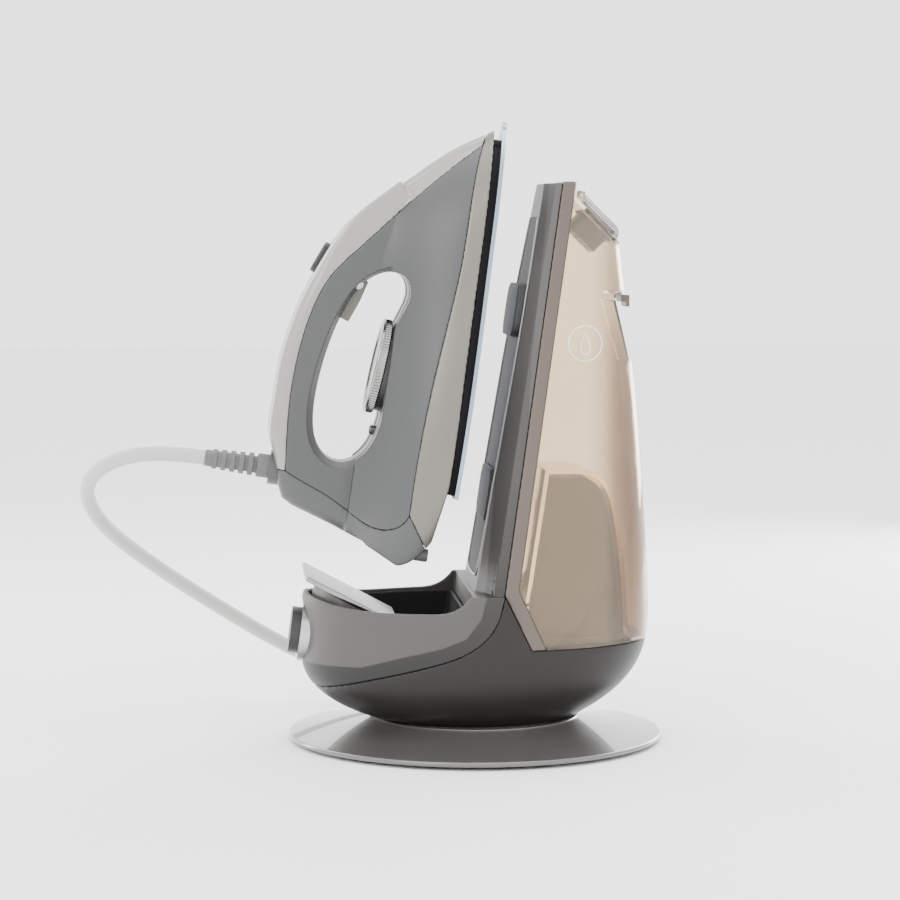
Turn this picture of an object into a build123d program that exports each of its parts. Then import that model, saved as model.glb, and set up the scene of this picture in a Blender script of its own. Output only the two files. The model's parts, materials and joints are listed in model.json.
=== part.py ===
from build123d import *
import os
from math import cos, pi, radians, sin, tan

# Steam station iron: a pressing iron held just above its docking station.
# Millimetres, +Z up.  The origin is the centre of the foot's underside.
# +X runs from the well at the front to the water tank at the back.

# ---------------------------------------------------------------- driving sizes
foot_radius = 113.0
foot_rim_height = 4.8
neck_radius = 62.5
neck_height = 15.2
mat_thickness = 2.0
wall = 2.6                     # station shells
tank_wall = 2.4
shell_wall = 2.3               # iron shells
gap = 0.3                      # between pieces that move apart
seat = 0.05                    # between pieces fitted to each other in one body
run_fit = 0.05                 # radial, shafts and pins that turn or slide

bowl_half_length = 104.5
bowl_half_width = 71.0
rim_height = 84.0
well_floor = 50.0
liner_thickness = 2.0
shelf_height = 61.8            # the tank stands on it

tower_top = 335.0
tower_lean = 8.8               # back plane of the spine, degrees from vertical
tower_back_foot = 11.7         # x of that plane at tank_corner_height
tank_corner_height = 94.0
tower_front_lean = 10.0
tower_front_foot = 5.3         # x of the front face at front_foot_height
front_foot_height = 141.4

iron_tilt = 8.4                # sole, degrees from vertical
iron_heel = (-13.8, 149.0)     # x, z of the sole's heel end
sole_length = 225.0
sole_half_width = 56.0
sole_thickness = 2.4
deck = 62.0                    # height of the body above the sole, under the hand hole
handle_half_width = 18.0
handle_edge = 7.0              # round along the handle's outer edges
hole_flare = 7.0               # depth over which the hand hole widens towards each side

dial_radius = 28.6
dial_thickness = 6.0
dial_tilt = 4.8
dial_centre = (69.4, 52.6)     # along and above the sole
knob_radius = 14.0
knob_length = 7.5
knob_tilt = 7.6
knob_centre = (-104.6, 66.3)

hose_diameter = 9.0
coil_mean_radius = 50.0
coil_turns = 3.6
coil_centre = (30.0, 186.0)
lid_slope = 45.0
lid_thickness = 6.5


# ---------------------------------------------------------------- planes and outlines
def side_plane(origin, tilt):
    """Upright plane through y = 0: local x leans `tilt` from +Z, local y points away from it to the front."""
    a = radians(tilt)
    return Plane(origin=(origin[0], 0, origin[1]), x_dir=(sin(a), 0, cos(a)), z_dir=(0, -1, 0))


def face_plane(origin, tilt):
    """Plane whose normal leaves the sole: local x runs from heel to tip and local y is +Y."""
    a = radians(tilt)
    return Plane(origin=(origin[0], 0, origin[1]), x_dir=(sin(a), 0, cos(a)), z_dir=(-cos(a), 0, sin(a)))


iron_side = side_plane(iron_heel, iron_tilt)
iron_sole = face_plane(iron_heel, iron_tilt)
station_side = Plane(origin=(0, 0, 0), x_dir=(1, 0, 0), z_dir=(0, -1, 0))
wide = 150.0                   # half width of a cut that passes right through


def iron_point(u, v, w):
    """World position of a point given along, across and above the sole."""
    return iron_sole.from_local_coords(Vector(u, v, w))


def boat_outline(heel, tip, half_width):
    """Plan of the iron at one level: blunt heel, bowed sides, round tip."""
    length = tip - heel
    with BuildSketch() as outline:
        with BuildLine():
            side = Spline(
                (heel, 0.84 * half_width),
                (heel + 0.25 * length, half_width),
                (heel + 0.64 * length, 0.74 * half_width),
                (tip - 0.022 * length, 0.125 * half_width),
                tangents=((1, 0.4), (1, -1.1)),
            )
            mirror(side, about=Plane.XZ)
            Line((heel, 0.84 * half_width), (heel, -0.84 * half_width))
            ThreePointArc(side @ 1, (tip, 0), ((side @ 1).X, -(side @ 1).Y))
        make_face()
    return outline.sketch


def polygon(points):
    """Closed outline through the given corners."""
    with BuildSketch() as outline:
        with BuildLine():
            Polyline(*points, close=True)
        make_face()
    return outline.sketch


def outline(*stretches):
    """Closed outline: a stretch of three or more points is one smooth curve, straight lines join the rest."""
    with BuildSketch() as drawn:
        with BuildLine():
            for stretch in stretches:
                if len(stretch) > 2:
                    Spline(*stretch)
                elif len(stretch) == 2:
                    Line(*stretch)
            for before, after in zip(stretches, stretches[1:] + stretches[:1]):
                if before[-1] != after[0]:
                    Line(before[-1], after[0])
        make_face()
    return drawn.sketch


def slab_between(plane, outline, half_width):
    """Outline drawn on an upright plane, run out by half_width to each side."""
    with BuildPart() as slab:
        with BuildSketch(plane):
            add(outline)
        extrude(amount=half_width, both=True)
    return slab.part


# ---------------------------------------------------------------- the iron's outside form
# Levels of the lower body: height above the sole, heel, tip, half width.
body_levels = [
    (sole_thickness, -8.0, sole_length - 1.0, sole_half_width - 1.0),
    (15.0, -32.0, sole_length - 11.0, sole_half_width - 1.5),
    (30.0, -44.0, sole_length - 21.0, sole_half_width - 5.0),
    (46.0, -38.0, sole_length - 35.0, sole_half_width - 18.0),
    (deck, -31.0, sole_length - 49.0, sole_half_width - 33.0),
]
strip_line = [(224, 5.9), (212.7, 20.5), (200, 36.8), (181, 58.3), (165.3, 74.1), (150.1, 87.1),
              (136.9, 94.4), (120.8, 101.2), (103.4, 107.5), (84.6, 112), (64.1, 115), (39.7, 115.6),
              (19.9, 114.5)]
heel_line = [(10.1, 110.7), (-7.3, 105.7), (-15.9, 102), (-19.7, 95.3), (-28.1, 69.8), (-37.7, 44.2),
             (-43.6, 31.2), (-45.1, 24.9), (-42.6, 16.1), (-29, 12)]
strip_seam = [(209.1, 12.7), (185.8, 36), (162.3, 56.8), (137.7, 77.4), (117.4, 92.6), (100.2, 99.1),
              (72.4, 104.1), (48.2, 105.4), (24.3, 104.3), (0.6, 102)]
rear_seam = [(0.6, 102), (-3.3, 93.7), (-11.2, 74.3), (-21.5, 54.6), (-24.3, 45.1), (-21.3, 33.4),
             (-12.7, 27.4)]
skirt_seam = [(209.1, 12.7), (193.4, 15.1), (139.6, 17.3), (97.8, 21.2), (55.9, 25.4), (26.2, 27.1),
              (-12.7, 27.4)]
hand_hole = [(92, 50), (104, 46.5), (116, 44), (125, 48.5), (126.5, 56.5), (122.5, 66), (115, 73.5),
             (104, 79.3), (74.4, 87.6), (50, 90.4), (30, 89.3), (17, 84), (10.5, 75), (11, 66), (16.5, 58.8),
             (26, 53.5), (38, 50.6)]
hole_middle = (68, 68)
# Plan of the handle: how far along the sole, half width.
handle_taper = [(-70, 1.0), (112, 1.0), (150, 0.86), (190, 0.39)]


corner_clearance = 1.5         # the hollow handle is this much slimmer, to leave a wall inside its round edges


def side_profile(top, corners, inset):
    """Side view with a curved top; drawn in by `inset` it is made of straight runs, for the hollow inside."""
    if inset:
        with BuildSketch() as inner:
            add(polygon(top + corners))
            offset(amount=-inset, mode=Mode.REPLACE)
        return inner.sketch
    return outline(top, *[[corner] for corner in corners])


sole_ends = [(0, sole_thickness), (sole_length, sole_thickness)]


def handle_body(inset):
    """The loop handle with rounded outer edges, narrowing towards the tip."""
    half_width = handle_half_width - (inset + corner_clearance if inset else 0)
    with BuildPart() as handle:
        with BuildSketch(iron_side):
            root = [(-20, 40), (150, 40), (170, 50)]
            add(side_profile(strip_line[3:] + heel_line[:2], heel_line[2:6] + root, inset))
        extrude(amount=half_width, both=True)
        if not inset:
            sides = handle.faces().filter_by(lambda face: abs(abs(face.center().Y) - half_width) < 0.01)
            fillet(sides.edges(), handle_edge)
        right = [(along, half_width * share) for along, share in handle_taper]
        left = [(along, -width) for along, width in reversed(right)]
        with BuildSketch(iron_sole):
            add(polygon(right + left))
        extrude(amount=wide, mode=Mode.INTERSECT)
    return handle.part


def iron_body(inset):
    """The iron's outside, drawn in by `inset`: a boat-shaped lower body and a slimmer loop handle."""
    with BuildPart() as form:
        for level, heel, tip, half_width in body_levels:
            roof = inset if level == deck else 0
            with BuildSketch(iron_sole.offset(level - roof)):
                add(boat_outline(heel + inset, tip - 1.6 * inset, half_width - inset))
        loft()
        with BuildSketch(iron_side):
            add(side_profile(strip_line + heel_line[:2], heel_line[2:] + sole_ends, inset))
        extrude(amount=wide, both=True, mode=Mode.INTERSECT)
        add(handle_body(inset))
    return form.part


def hole_slab(outset):
    """The hand hole with flared sides, to cut with; grown by `outset` it is stepped, to keep a wall round the hole."""
    with BuildPart() as hole:
        if outset:
            with BuildSketch(iron_side):
                add(polygon(hand_hole))
                offset(amount=outset, mode=Mode.REPLACE)
            extrude(amount=wide, both=True)
            for side in (1, -1):
                with BuildSketch(iron_side.offset(side * (handle_half_width - hole_flare - outset))):
                    add(polygon(hole_mouth))
                    offset(amount=outset, mode=Mode.REPLACE)
                extrude(amount=side * (hole_flare + 1 + 2 * outset))
        else:
            with BuildSketch(iron_side):
                add(outline(hand_hole))
            extrude(amount=wide, both=True)
            for side in (1, -1):
                with BuildSketch(iron_side.offset(side * (handle_half_width - hole_flare))):
                    add(outline(hand_hole))
                with BuildSketch(iron_side.offset(side * (handle_half_width + 1))):
                    add(outline(hole_mouth))
                loft(ruled=True)
    return hole.part


mouth_growth = (1.07, 1.2)     # how much longer and taller the hand hole is at the handle's sides
hole_mouth = [(hole_middle[0] + mouth_growth[0] * (along - hole_middle[0]),
               hole_middle[1] + mouth_growth[1] * (above - hole_middle[1])) for along, above in hand_hole]
iron_outside = iron_body(0)
iron_inside = iron_body(shell_wall)
hand_hole_cut = hole_slab(0)
hand_hole_wall = hole_slab(shell_wall)
hollow = iron_inside - hand_hole_wall
band_top = 6.6                 # the dark heat shield shows up to here, and the skirt starts
skirt_side = outline(skirt_seam, [(-32.3, 14.4)], [(-29, 12)], [(6, band_top)], [(sole_length + 5, band_top)])
skirt_zone = slab_between(iron_side, skirt_side, wide)
below_side = outline(skirt_seam, [(-32.3, 14.4)], [(-40, -10)], [(sole_length + 15, -10)],
                     [(sole_length + 15, band_top)])
below_seam = slab_between(iron_side, below_side, wide)
strip_side = outline(strip_seam, [(0.6, 125)], [(120, 125)], [(240, 20)], [(226, 0)], [(209.1, 6)])
strip_zone = slab_between(iron_side, strip_side, wide)
rear_side = outline(rear_seam, [(-32.3, 14.4)], [(-30, 5)], [(-70, 5)], [(-50, 120)], [(0.6, 120)])
rear_zone = slab_between(iron_side, rear_side, wide)


# ---------------------------------------------------------------- iron: heated base
chamber_top = 14.0
element_radius = 3.4
element_bend = 26.0
vent_radius = 1.3
vent_rows = 8
screw_radius = 1.9
screw_places = [(150.0, 0.0), (22.0, 34.0), (22.0, -34.0)]

with BuildPart() as soleplate:
    with BuildSketch(iron_sole):
        add(boat_outline(0, sole_length, sole_half_width))
    extrude(amount=sole_thickness)
    with BuildSketch(iron_sole):
        for row in range(vent_rows):
            with Locations((70 + 16 * row, 36 - 3.6 * row), (70 + 16 * row, 3.6 * row - 36)):
                Circle(vent_radius)
    extrude(amount=sole_thickness, mode=Mode.SUBTRACT)
soleplate.part.label = "soleplate"

with BuildPart() as heating_element:
    with BuildLine(iron_sole.offset(chamber_top)) as element_path:
        leg_in = Line((24, -element_bend), (118, -element_bend))
        nose = ThreePointArc(leg_in @ 1, (118 + element_bend, 0), (118, element_bend))
        Line(nose @ 1, (24, element_bend))
    with BuildSketch(Plane(origin=element_path.line @ 0, z_dir=element_path.line % 0)):
        Circle(element_radius)
    sweep()
heating_element.part.label = "heating_element"

with BuildPart() as element_groove:
    with BuildLine(iron_sole.offset(chamber_top)) as groove_path:
        groove_in = Line((24, -element_bend), (118, -element_bend))
        groove_nose = ThreePointArc(groove_in @ 1, (118 + element_bend, 0), (118, element_bend))
        Line(groove_nose @ 1, (24, element_bend))
    with BuildSketch(Plane(origin=groove_path.line @ 0, z_dir=groove_path.line % 0)):
        Circle(element_radius + seat)
    sweep()

with BuildPart() as steam_chamber:
    with BuildSketch(iron_sole.offset(sole_thickness)):
        add(boat_outline(8, sole_length - 27, sole_half_width - 10))
    extrude(amount=chamber_top - sole_thickness)
    with BuildSketch(iron_sole.offset(chamber_top)):
        add(boat_outline(40, 130, 18))
    extrude(amount=-6, mode=Mode.SUBTRACT)
    add(element_groove.part, mode=Mode.SUBTRACT)
    with BuildSketch(iron_sole):
        with Locations(*screw_places):
            Circle(screw_radius + seat)
    extrude(amount=chamber_top, mode=Mode.SUBTRACT)
    with BuildSketch(iron_sole):
        with Locations(*screw_places):
            Circle(3.7)
    extrude(amount=8.5, mode=Mode.SUBTRACT)
steam_chamber.part.label = "steam_chamber"

cover_thickness = 2.0
inlet_u = 48.0
with BuildPart() as chamber_cover:
    with BuildSketch(iron_sole.offset(chamber_top)):
        add(boat_outline(35, 134, 21))
    extrude(amount=cover_thickness)
    with BuildSketch(iron_sole.offset(chamber_top)):
        with Locations((inlet_u, 0)):
            Circle(4.5)
    extrude(amount=8)
    with BuildSketch(iron_sole.offset(chamber_top)):
        with Locations((inlet_u, 0)):
            Circle(2.0)
    extrude(amount=8, mode=Mode.SUBTRACT)
chamber_cover.part.label = "chamber_cover"

with BuildPart() as heat_shield:
    with BuildSketch(iron_sole.offset(sole_thickness)):
        add(boat_outline(2, sole_length - 11, sole_half_width - 2.5))
        add(boat_outline(5, sole_length - 17, sole_half_width - 7.5), mode=Mode.SUBTRACT)
    extrude(amount=band_top - sole_thickness - seat)
heat_shield.part.label = "heat_shield"

with BuildPart() as thermal_fuse:
    with BuildSketch(iron_side):
        with Locations((160, chamber_top + 2.6)):
            Circle(2.6)
    extrude(amount=10, both=True)
thermal_fuse.part.label = "thermal_fuse"

with BuildPart() as iron_screws:
    with BuildSketch(iron_sole.offset(5)):
        with Locations(*screw_places):
            Circle(3.6)
    extrude(amount=3.5)
    with BuildSketch(iron_sole.offset(8.5)):
        with Locations(*screw_places):
            Circle(screw_radius)
    extrude(amount=20)
iron_screws.part.label = "iron_screws"

# ---------------------------------------------------------------- iron: shells
dial_point = iron_point(dial_centre[0], 0, dial_centre[1])
dial_plane = face_plane((dial_point.X, dial_point.Z), iron_tilt + dial_tilt)
shaft_radius = 3.0
trigger_half = 8.0
trigger_side = [(93.3, 77.2), (106, 72.2), (118.5, 68.6), (122, 74), (117, 80), (97, 87)]
trigger_pivot = (116.5, 74.6)
pin_radius = 1.6
button_point = iron_point(128.8, 0, 98.2)
button_lean = 22.6
button_plane = face_plane((button_point.X, button_point.Z), iron_tilt + button_lean)
button_length = 20.0
button_width = 11.0
lamp_place = (31.0, 0.0)
lamp_radius = 3.0
hose_exit_u = 0.5
relief_root = 98.0
relief_end = 150.0
relief_radius = 7.2
collar_radius = 10.4

with BuildPart() as boss_form:
    with BuildSketch(iron_sole.offset(17)):
        with Locations(*screw_places):
            Circle(4.5)
    extrude(amount=46)
    with BuildSketch(iron_sole.offset(17)):
        with Locations(*screw_places):
            Circle(screw_radius + seat)
    extrude(amount=14, mode=Mode.SUBTRACT)
    with BuildSketch(iron_sole.offset(40)):
        with Locations((screw_places[0][0], 0)):
            Rectangle(2.4, 2 * sole_half_width)
    extrude(amount=8)
    add(iron_body(0.5 * shell_wall), mode=Mode.INTERSECT)

with BuildPart() as collar_hole:
    with BuildSketch(iron_sole.offset(relief_root)):
        with Locations((hose_exit_u, 0)):
            Circle(collar_radius + seat)
    extrude(amount=20)

with BuildPart() as main_shell:
    add(iron_outside)
    add(hollow, mode=Mode.SUBTRACT)
    add(boss_form.part)
    add(hand_hole_cut, mode=Mode.SUBTRACT)
    for zone in (below_seam, strip_zone, rear_zone, collar_hole.part):
        add(zone, mode=Mode.SUBTRACT)
    with BuildSketch(dial_plane):
        Circle(shaft_radius + 2)
    extrude(amount=-20, mode=Mode.SUBTRACT)
    with BuildSketch(iron_side):
        add(polygon(trigger_side))
        offset(amount=1.5 * gap, mode=Mode.REPLACE)
    extrude(amount=trigger_half + gap, both=True, mode=Mode.SUBTRACT)
    with BuildSketch(iron_side):
        with Locations(trigger_pivot):
            Circle(pin_radius + 1.3 + gap)
    extrude(amount=trigger_half + 5 + 2 * gap, both=True, mode=Mode.SUBTRACT)
    with BuildSketch(iron_side):
        with Locations(trigger_pivot):
            Circle(pin_radius + seat)
    extrude(amount=handle_half_width - shell_wall + seat, both=True, mode=Mode.SUBTRACT)
    with BuildSketch(iron_sole.offset(40)):
        with Locations(lamp_place):
            Circle(lamp_radius + seat)
    extrude(amount=20, mode=Mode.SUBTRACT)
main_shell.part.label = "main_shell"

with BuildPart() as skirt:
    add(iron_outside)
    add(hollow, mode=Mode.SUBTRACT)
    add(skirt_zone, mode=Mode.INTERSECT)
    add(rear_zone, mode=Mode.SUBTRACT)
skirt.part.label = "skirt"

with BuildPart() as handle_top_cover:
    add(iron_outside)
    add(hollow, mode=Mode.SUBTRACT)
    add(strip_zone, mode=Mode.INTERSECT)
    add(below_seam, mode=Mode.SUBTRACT)
    add(collar_hole.part, mode=Mode.SUBTRACT)
    with BuildSketch(button_plane.offset(-8)):
        SlotOverall(button_length + 2 * gap, button_width + 2 * gap)
    extrude(amount=20, mode=Mode.SUBTRACT)
handle_top_cover.part.label = "handle_top_cover"

with BuildPart() as rear_cover:
    add(iron_outside)
    add(hollow, mode=Mode.SUBTRACT)
    add(rear_zone, mode=Mode.INTERSECT)
    add(collar_hole.part, mode=Mode.SUBTRACT)
rear_cover.part.label = "rear_cover"

with BuildPart() as heel_feet:
    with BuildSketch(iron_sole.offset(11)):
        with Locations((-37.5, 22), (-37.5, -22)):
            Circle(4)
    extrude(amount=8)
    add(iron_outside, mode=Mode.SUBTRACT)
heel_feet.part.label = "heel_feet"

# ---------------------------------------------------------------- iron: controls
grip_notches = 40
with BuildPart() as dial:
    with BuildSketch(dial_plane):
        Circle(dial_radius)
        with PolarLocations(dial_radius + 0.7, grip_notches):
            Circle(1.5, mode=Mode.SUBTRACT)
    extrude(amount=dial_thickness)
    with BuildSketch(dial_plane.offset(dial_thickness)):
        Circle(dial_radius - 5)
    extrude(amount=-1.2, mode=Mode.SUBTRACT)
    with BuildSketch(dial_plane):
        Circle(shaft_radius + seat)
    extrude(amount=3, mode=Mode.SUBTRACT)
dial.part.label = "dial"

thermostat_depth = 24.0
with BuildPart() as dial_shaft:
    with BuildSketch(dial_plane.offset(3)):
        Circle(shaft_radius)
    extrude(amount=-3 - thermostat_depth - 6)
dial_shaft.part.label = "dial_shaft"

with BuildPart() as dial_base:
    with BuildSketch(dial_plane.offset(-gap)):
        Circle(dial_radius - 2.2)
    extrude(amount=-6)
    add(hand_hole_cut, mode=Mode.INTERSECT)
    with BuildSketch(dial_plane):
        Circle(shaft_radius + run_fit)
    extrude(amount=-10, mode=Mode.SUBTRACT)
dial_base.part.label = "dial_base"

with BuildPart() as thermostat:
    with BuildSketch(dial_plane.offset(-thermostat_depth)):
        Rectangle(24, 20)
    extrude(amount=-11)
    with BuildSketch(dial_plane.offset(-thermostat_depth)):
        Circle(shaft_radius + run_fit)
    extrude(amount=-7, mode=Mode.SUBTRACT)
thermostat.part.label = "thermostat"

with BuildPart() as steam_trigger:
    with BuildSketch(iron_side):
        add(polygon(trigger_side))
    extrude(amount=trigger_half, both=True)
    with BuildSketch(iron_side):
        with Locations(trigger_pivot):
            Circle(pin_radius + run_fit)
    extrude(amount=trigger_half, both=True, mode=Mode.SUBTRACT)
steam_trigger.part.label = "steam_trigger"

with BuildPart() as trigger_pin:
    with BuildSketch(iron_side):
        with Locations(trigger_pivot):
            Circle(pin_radius)
    extrude(amount=handle_half_width - shell_wall, both=True)
trigger_pin.part.label = "trigger_pin"

with BuildPart() as trigger_spring:
    with BuildSketch(iron_side.offset(trigger_half + gap)):
        with Locations(trigger_pivot):
            Circle(pin_radius + 1.3)
            Circle(pin_radius + seat, mode=Mode.SUBTRACT)
    extrude(amount=5)
trigger_spring.part.label = "trigger_spring"

button_proud = 2.8
button_depth = 5.0
with BuildPart() as thumb_button:
    with BuildSketch(button_plane.offset(button_proud)):
        SlotOverall(button_length, button_width)
    extrude(amount=-button_proud - button_depth)
    fillet(thumb_button.faces().sort_by(Axis(button_plane.origin, button_plane.z_dir))[-1].edges(), 1.2)
thumb_button.part.label = "thumb_button"


spring_wire = 0.4
spring_height = 5.0
button_coil_plane = button_plane.offset(-button_depth - spring_height - 2 * spring_wire)
with BuildPart() as button_spring:
    with BuildLine() as button_coil:
        Helix(pitch=spring_height / 4, height=spring_height, radius=3, center=button_coil_plane.origin,
              direction=button_coil_plane.z_dir)
    with BuildSketch(Plane(origin=button_coil.line @ 0, z_dir=button_coil.line % 0)):
        Circle(spring_wire)
    sweep(is_frenet=True)
button_spring.part.label = "button_spring"

with BuildPart() as handle_switches:
    with BuildSketch(button_plane.offset(-button_depth - spring_height - 5 * spring_wire)):
        Rectangle(12, 8)
    extrude(amount=-6)
    with BuildSketch(iron_side):
        with Locations((101, 94)):
            Rectangle(12, 6)
    extrude(amount=4, both=True)
handle_switches.part.label = "handle_switches"

with BuildPart() as indicator_lamp:
    with BuildSketch(iron_sole.offset(49)):
        with Locations(lamp_place):
            Circle(lamp_radius)
    extrude(amount=6.5)
    fillet(indicator_lamp.faces().sort_by(Axis(iron_sole.origin, iron_sole.z_dir))[-1].edges(), 1.5)
indicator_lamp.part.label = "indicator_lamp"

# ---------------------------------------------------------------- iron: hose entry and wiring
rib_count = 5
rib_pitch = 3.6
with BuildPart() as strain_relief:
    with BuildSketch(iron_side):
        with BuildLine():
            Polyline(
                (hose_exit_u + 3.2, relief_root),
                (hose_exit_u + relief_radius, relief_root),
                (hose_exit_u + relief_radius, 118),
                (hose_exit_u + 6.2, 130),
                (hose_exit_u + 5.6, relief_end),
                (hose_exit_u + 3.2, relief_end),
                close=True,
            )
        make_face()
        for rib in range(rib_count):
            with Locations((hose_exit_u + 6.4, 131 + rib_pitch * rib)):
                Rectangle(2.6, 1.5, mode=Mode.SUBTRACT)
    revolve(axis=Axis(iron_point(hose_exit_u, 0, 0), iron_sole.z_dir))
strain_relief.part.label = "strain_relief"

with BuildPart() as hose_collar:
    with BuildSketch(iron_sole.offset(104)):
        with Locations((hose_exit_u, 0)):
            Circle(collar_radius)
            Circle(relief_radius + seat, mode=Mode.SUBTRACT)
    extrude(amount=7.5)
hose_collar.part.label = "hose_collar"

steam_tube_points = [(hose_exit_u, relief_root), (-5, 74), (-7, 50), (10, 33), (inlet_u, 33),
                     (inlet_u, chamber_top + 8)]
with BuildPart() as steam_tube:
    with BuildLine(iron_side) as tube_path:
        FilletPolyline(*steam_tube_points, radius=(20, 20, 16, 6))
    with BuildSketch(Plane(origin=tube_path.line @ 0, z_dir=tube_path.line % 0)):
        Circle(3)
        Circle(2, mode=Mode.SUBTRACT)
    sweep()
steam_tube.part.label = "steam_tube"

with BuildPart() as terminal_block:
    with BuildSketch(iron_side):
        with Locations((-26, 37)):
            Rectangle(13, 9)
    extrude(amount=13, both=True)
terminal_block.part.label = "terminal_block"


# ---------------------------------------------------------------- docking: where the iron comes to rest
lift_travel = 42.6             # from docked to held just above the dock
lift_lean = 16.8               # direction of lift, degrees from vertical towards the front
dock = Vector(lift_travel * sin(radians(lift_lean)), 0, -lift_travel * cos(radians(lift_lean)))
docked_sole = face_plane((iron_heel[0] + dock.X, iron_heel[1] + dock.Z), iron_tilt).offset(-gap)
heel_low = iron_point(-37.7, 0, 44.2) + dock
heel_high = iron_point(-19.7, 0, 95.3) + dock
plate_slope = (heel_low - heel_high).normalized()
heel_plane = Plane(origin=(heel_low + heel_high) / 2, x_dir=plate_slope,
                   z_dir=plate_slope.cross(Vector(0, 1, 0))).offset(-3 * gap)

# ---------------------------------------------------------------- station forms
# Levels of the bowl: height, middle x, half length, half width.
bowl_levels = [
    (neck_height, -0.5, neck_radius, 54.0),
    (22.0, -4.0, 77.0, 61.5),
    (30.0, -4.5, 89.0, 66.5),
    (44.0, -3.3, bowl_half_length - 4, bowl_half_width - 1),
    (60.0, -0.5, bowl_half_length - 0.2, bowl_half_width),
    (76.0, 0.5, bowl_half_length, bowl_half_width),
    (94.0, 0.8, bowl_half_length - 2, bowl_half_width - 0.5),
]
tower_levels = (60.0, 110.0, 170.0, 230.0, 285.0, tower_top)
# Levels of the tank: height, how far back it reaches.
tank_levels = [(60.0, 104.2), (100.0, 105.2), (150.0, 102.1), (200.0, 98.3), (250.0, 93.0), (300.0, 87.4),
               (345.0, 80.0)]


def front_x(height):
    """Front face of the spine."""
    return tower_front_foot + tan(radians(tower_front_lean)) * (height - front_foot_height)


def back_x(height):
    """Back plane of the spine, which the tank stands against."""
    return tower_back_foot + tan(radians(tower_lean)) * (height - tank_corner_height)


def back_half_width(height):
    return bowl_half_width - 0.5 - 0.1345 * (height - shelf_height)


def front_half_width(height):
    return 39.0 - 0.0013 * max(0.0, height - 215.0) ** 2


def bowl_form(inset):
    """Bowl of the station, drawn in by `inset` at the sides and the bottom."""
    with BuildPart() as form:
        for height, middle, half_length, half_width in bowl_levels:
            with BuildSketch(Plane.XY.offset(height + (inset if height < 80 else 0))):
                with Locations((middle, 0)):
                    Ellipse(half_length - inset, half_width - inset)
        loft()
    return form.part


def tower_form(inset, low, high):
    """Spine that leans back from the well, between two heights."""
    with BuildPart() as form:
        for level in tower_levels:
            height = min(max(level, low), high)
            if level != height and level not in (tower_levels[0], tower_levels[-1]):
                continue
            front = front_x(height) + inset
            back = back_x(height) - inset
            side = back_half_width(height) - inset
            nose = front_half_width(height) - inset
            shoulder = front + 0.6 * (back - front)
            corners = [(front, nose), (shoulder, side - 1.5), (back, side), (back, -side),
                       (shoulder, 1.5 - side), (front, -nose)]
            with BuildSketch(Plane.XY.offset(height)):
                add(polygon(corners))
        loft(ruled=True)
    return form.part


def tank_form(inset):
    """Body of the tank: half an ellipse at each level, flat against the spine."""
    with BuildPart() as form:
        for height, reach in tank_levels:
            middle = 0.17 * (height - shelf_height)
            front = back_x(height) + gap + inset
            with BuildSketch(Plane.XY.offset(height)):
                with Locations((middle, 0)):
                    Ellipse(reach - middle - inset, back_half_width(height) - inset)
                with Locations((front - wide, 0)):
                    Rectangle(2 * wide, 2 * wide, mode=Mode.SUBTRACT)
        loft()
    return form.part


seam_line = [(-125, 33), (-99.6, 34.4), (-71, 42.5), (-48.6, 48.6), (-25.9, 54.9), (-8.6, 61.9),
             (3, 71.7), (8.7, 82), (back_x(tank_corner_height), tank_corner_height)]
tank_foot_x = 27.8             # where the tank's sloping corner meets its floor
rim_line = [(-1, 122), (-3.6, 105.6), (-5.9, 98.2), (-9.6, 92.3), (-14.6, 87.7), (-20.6, 85), (-32, rim_height),
            (-60, rim_height), (-83, 86), (-101, 90), (-125, 97)]
bowl_side = outline(seam_line[:-1], seam_line[-1:], [(tank_foot_x, shelf_height)], [(125, shelf_height)],
                    [(125, 0)], [(-125, 0)])
corner_inner_x = back_x(tank_corner_height) - wall
bowl_inside_side = [(-125, 0), (-125, 120), (corner_inner_x, 120), (corner_inner_x, tank_corner_height),
                    (tank_foot_x + 0.5 * wall, shelf_height - wall), (125, shelf_height - wall), (125, 0)]
upper_side = outline(seam_line[:-1], seam_line[-1:], [(back_x(tower_top + 5), tower_top + 5)],
                     [(front_x(tower_top + 5) - 3, tower_top + 5)], [(front_x(122) - 3, 122)], rim_line)

bowl_outside = bowl_form(0)
bowl_inside = bowl_form(wall)
opening_inset = wall + 0.4     # thickness of the well's rim
well_outer = bowl_form(opening_inset + seat)
well_inner = bowl_form(opening_inset + seat + liner_thickness)
tower = tower_form(0, tower_levels[0], tower_top)

# ---------------------------------------------------------------- station: foot
with BuildPart() as foot_disc:
    with BuildSketch(Plane.XZ):
        with BuildLine():
            Line((0, neck_height), (neck_radius, neck_height))
            flare = Spline((neck_radius, neck_height), (neck_radius + 4, neck_height - 3.2),
                           (foot_radius, foot_rim_height), tangents=((0.1, -1), (1, -0.12)))
            Polyline(flare @ 1, (foot_radius, mat_thickness), (foot_radius - 6, mat_thickness),
                     (neck_radius + 2, 8.6), (neck_radius - 3, 11.5), (0, 11.5), (0, neck_height))
        make_face()
    revolve(axis=Axis.Z)
    with BuildSketch(Plane.XY.offset(neck_height)):
        with PolarLocations(40, 4, start_angle=45):
            Circle(2.2)
    extrude(amount=-10, mode=Mode.SUBTRACT)
foot_disc.part.label = "foot_disc"

with BuildPart() as foot_mat:
    with BuildSketch():
        Circle(foot_radius - 8)
    extrude(amount=mat_thickness)
foot_mat.part.label = "foot_mat"

with BuildPart() as foot_weight:
    with BuildSketch(Plane.XY.offset(mat_thickness)):
        Circle(neck_radius + 10)
        Circle(52, mode=Mode.SUBTRACT)
    extrude(amount=4)
foot_weight.part.label = "foot_weight"

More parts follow.
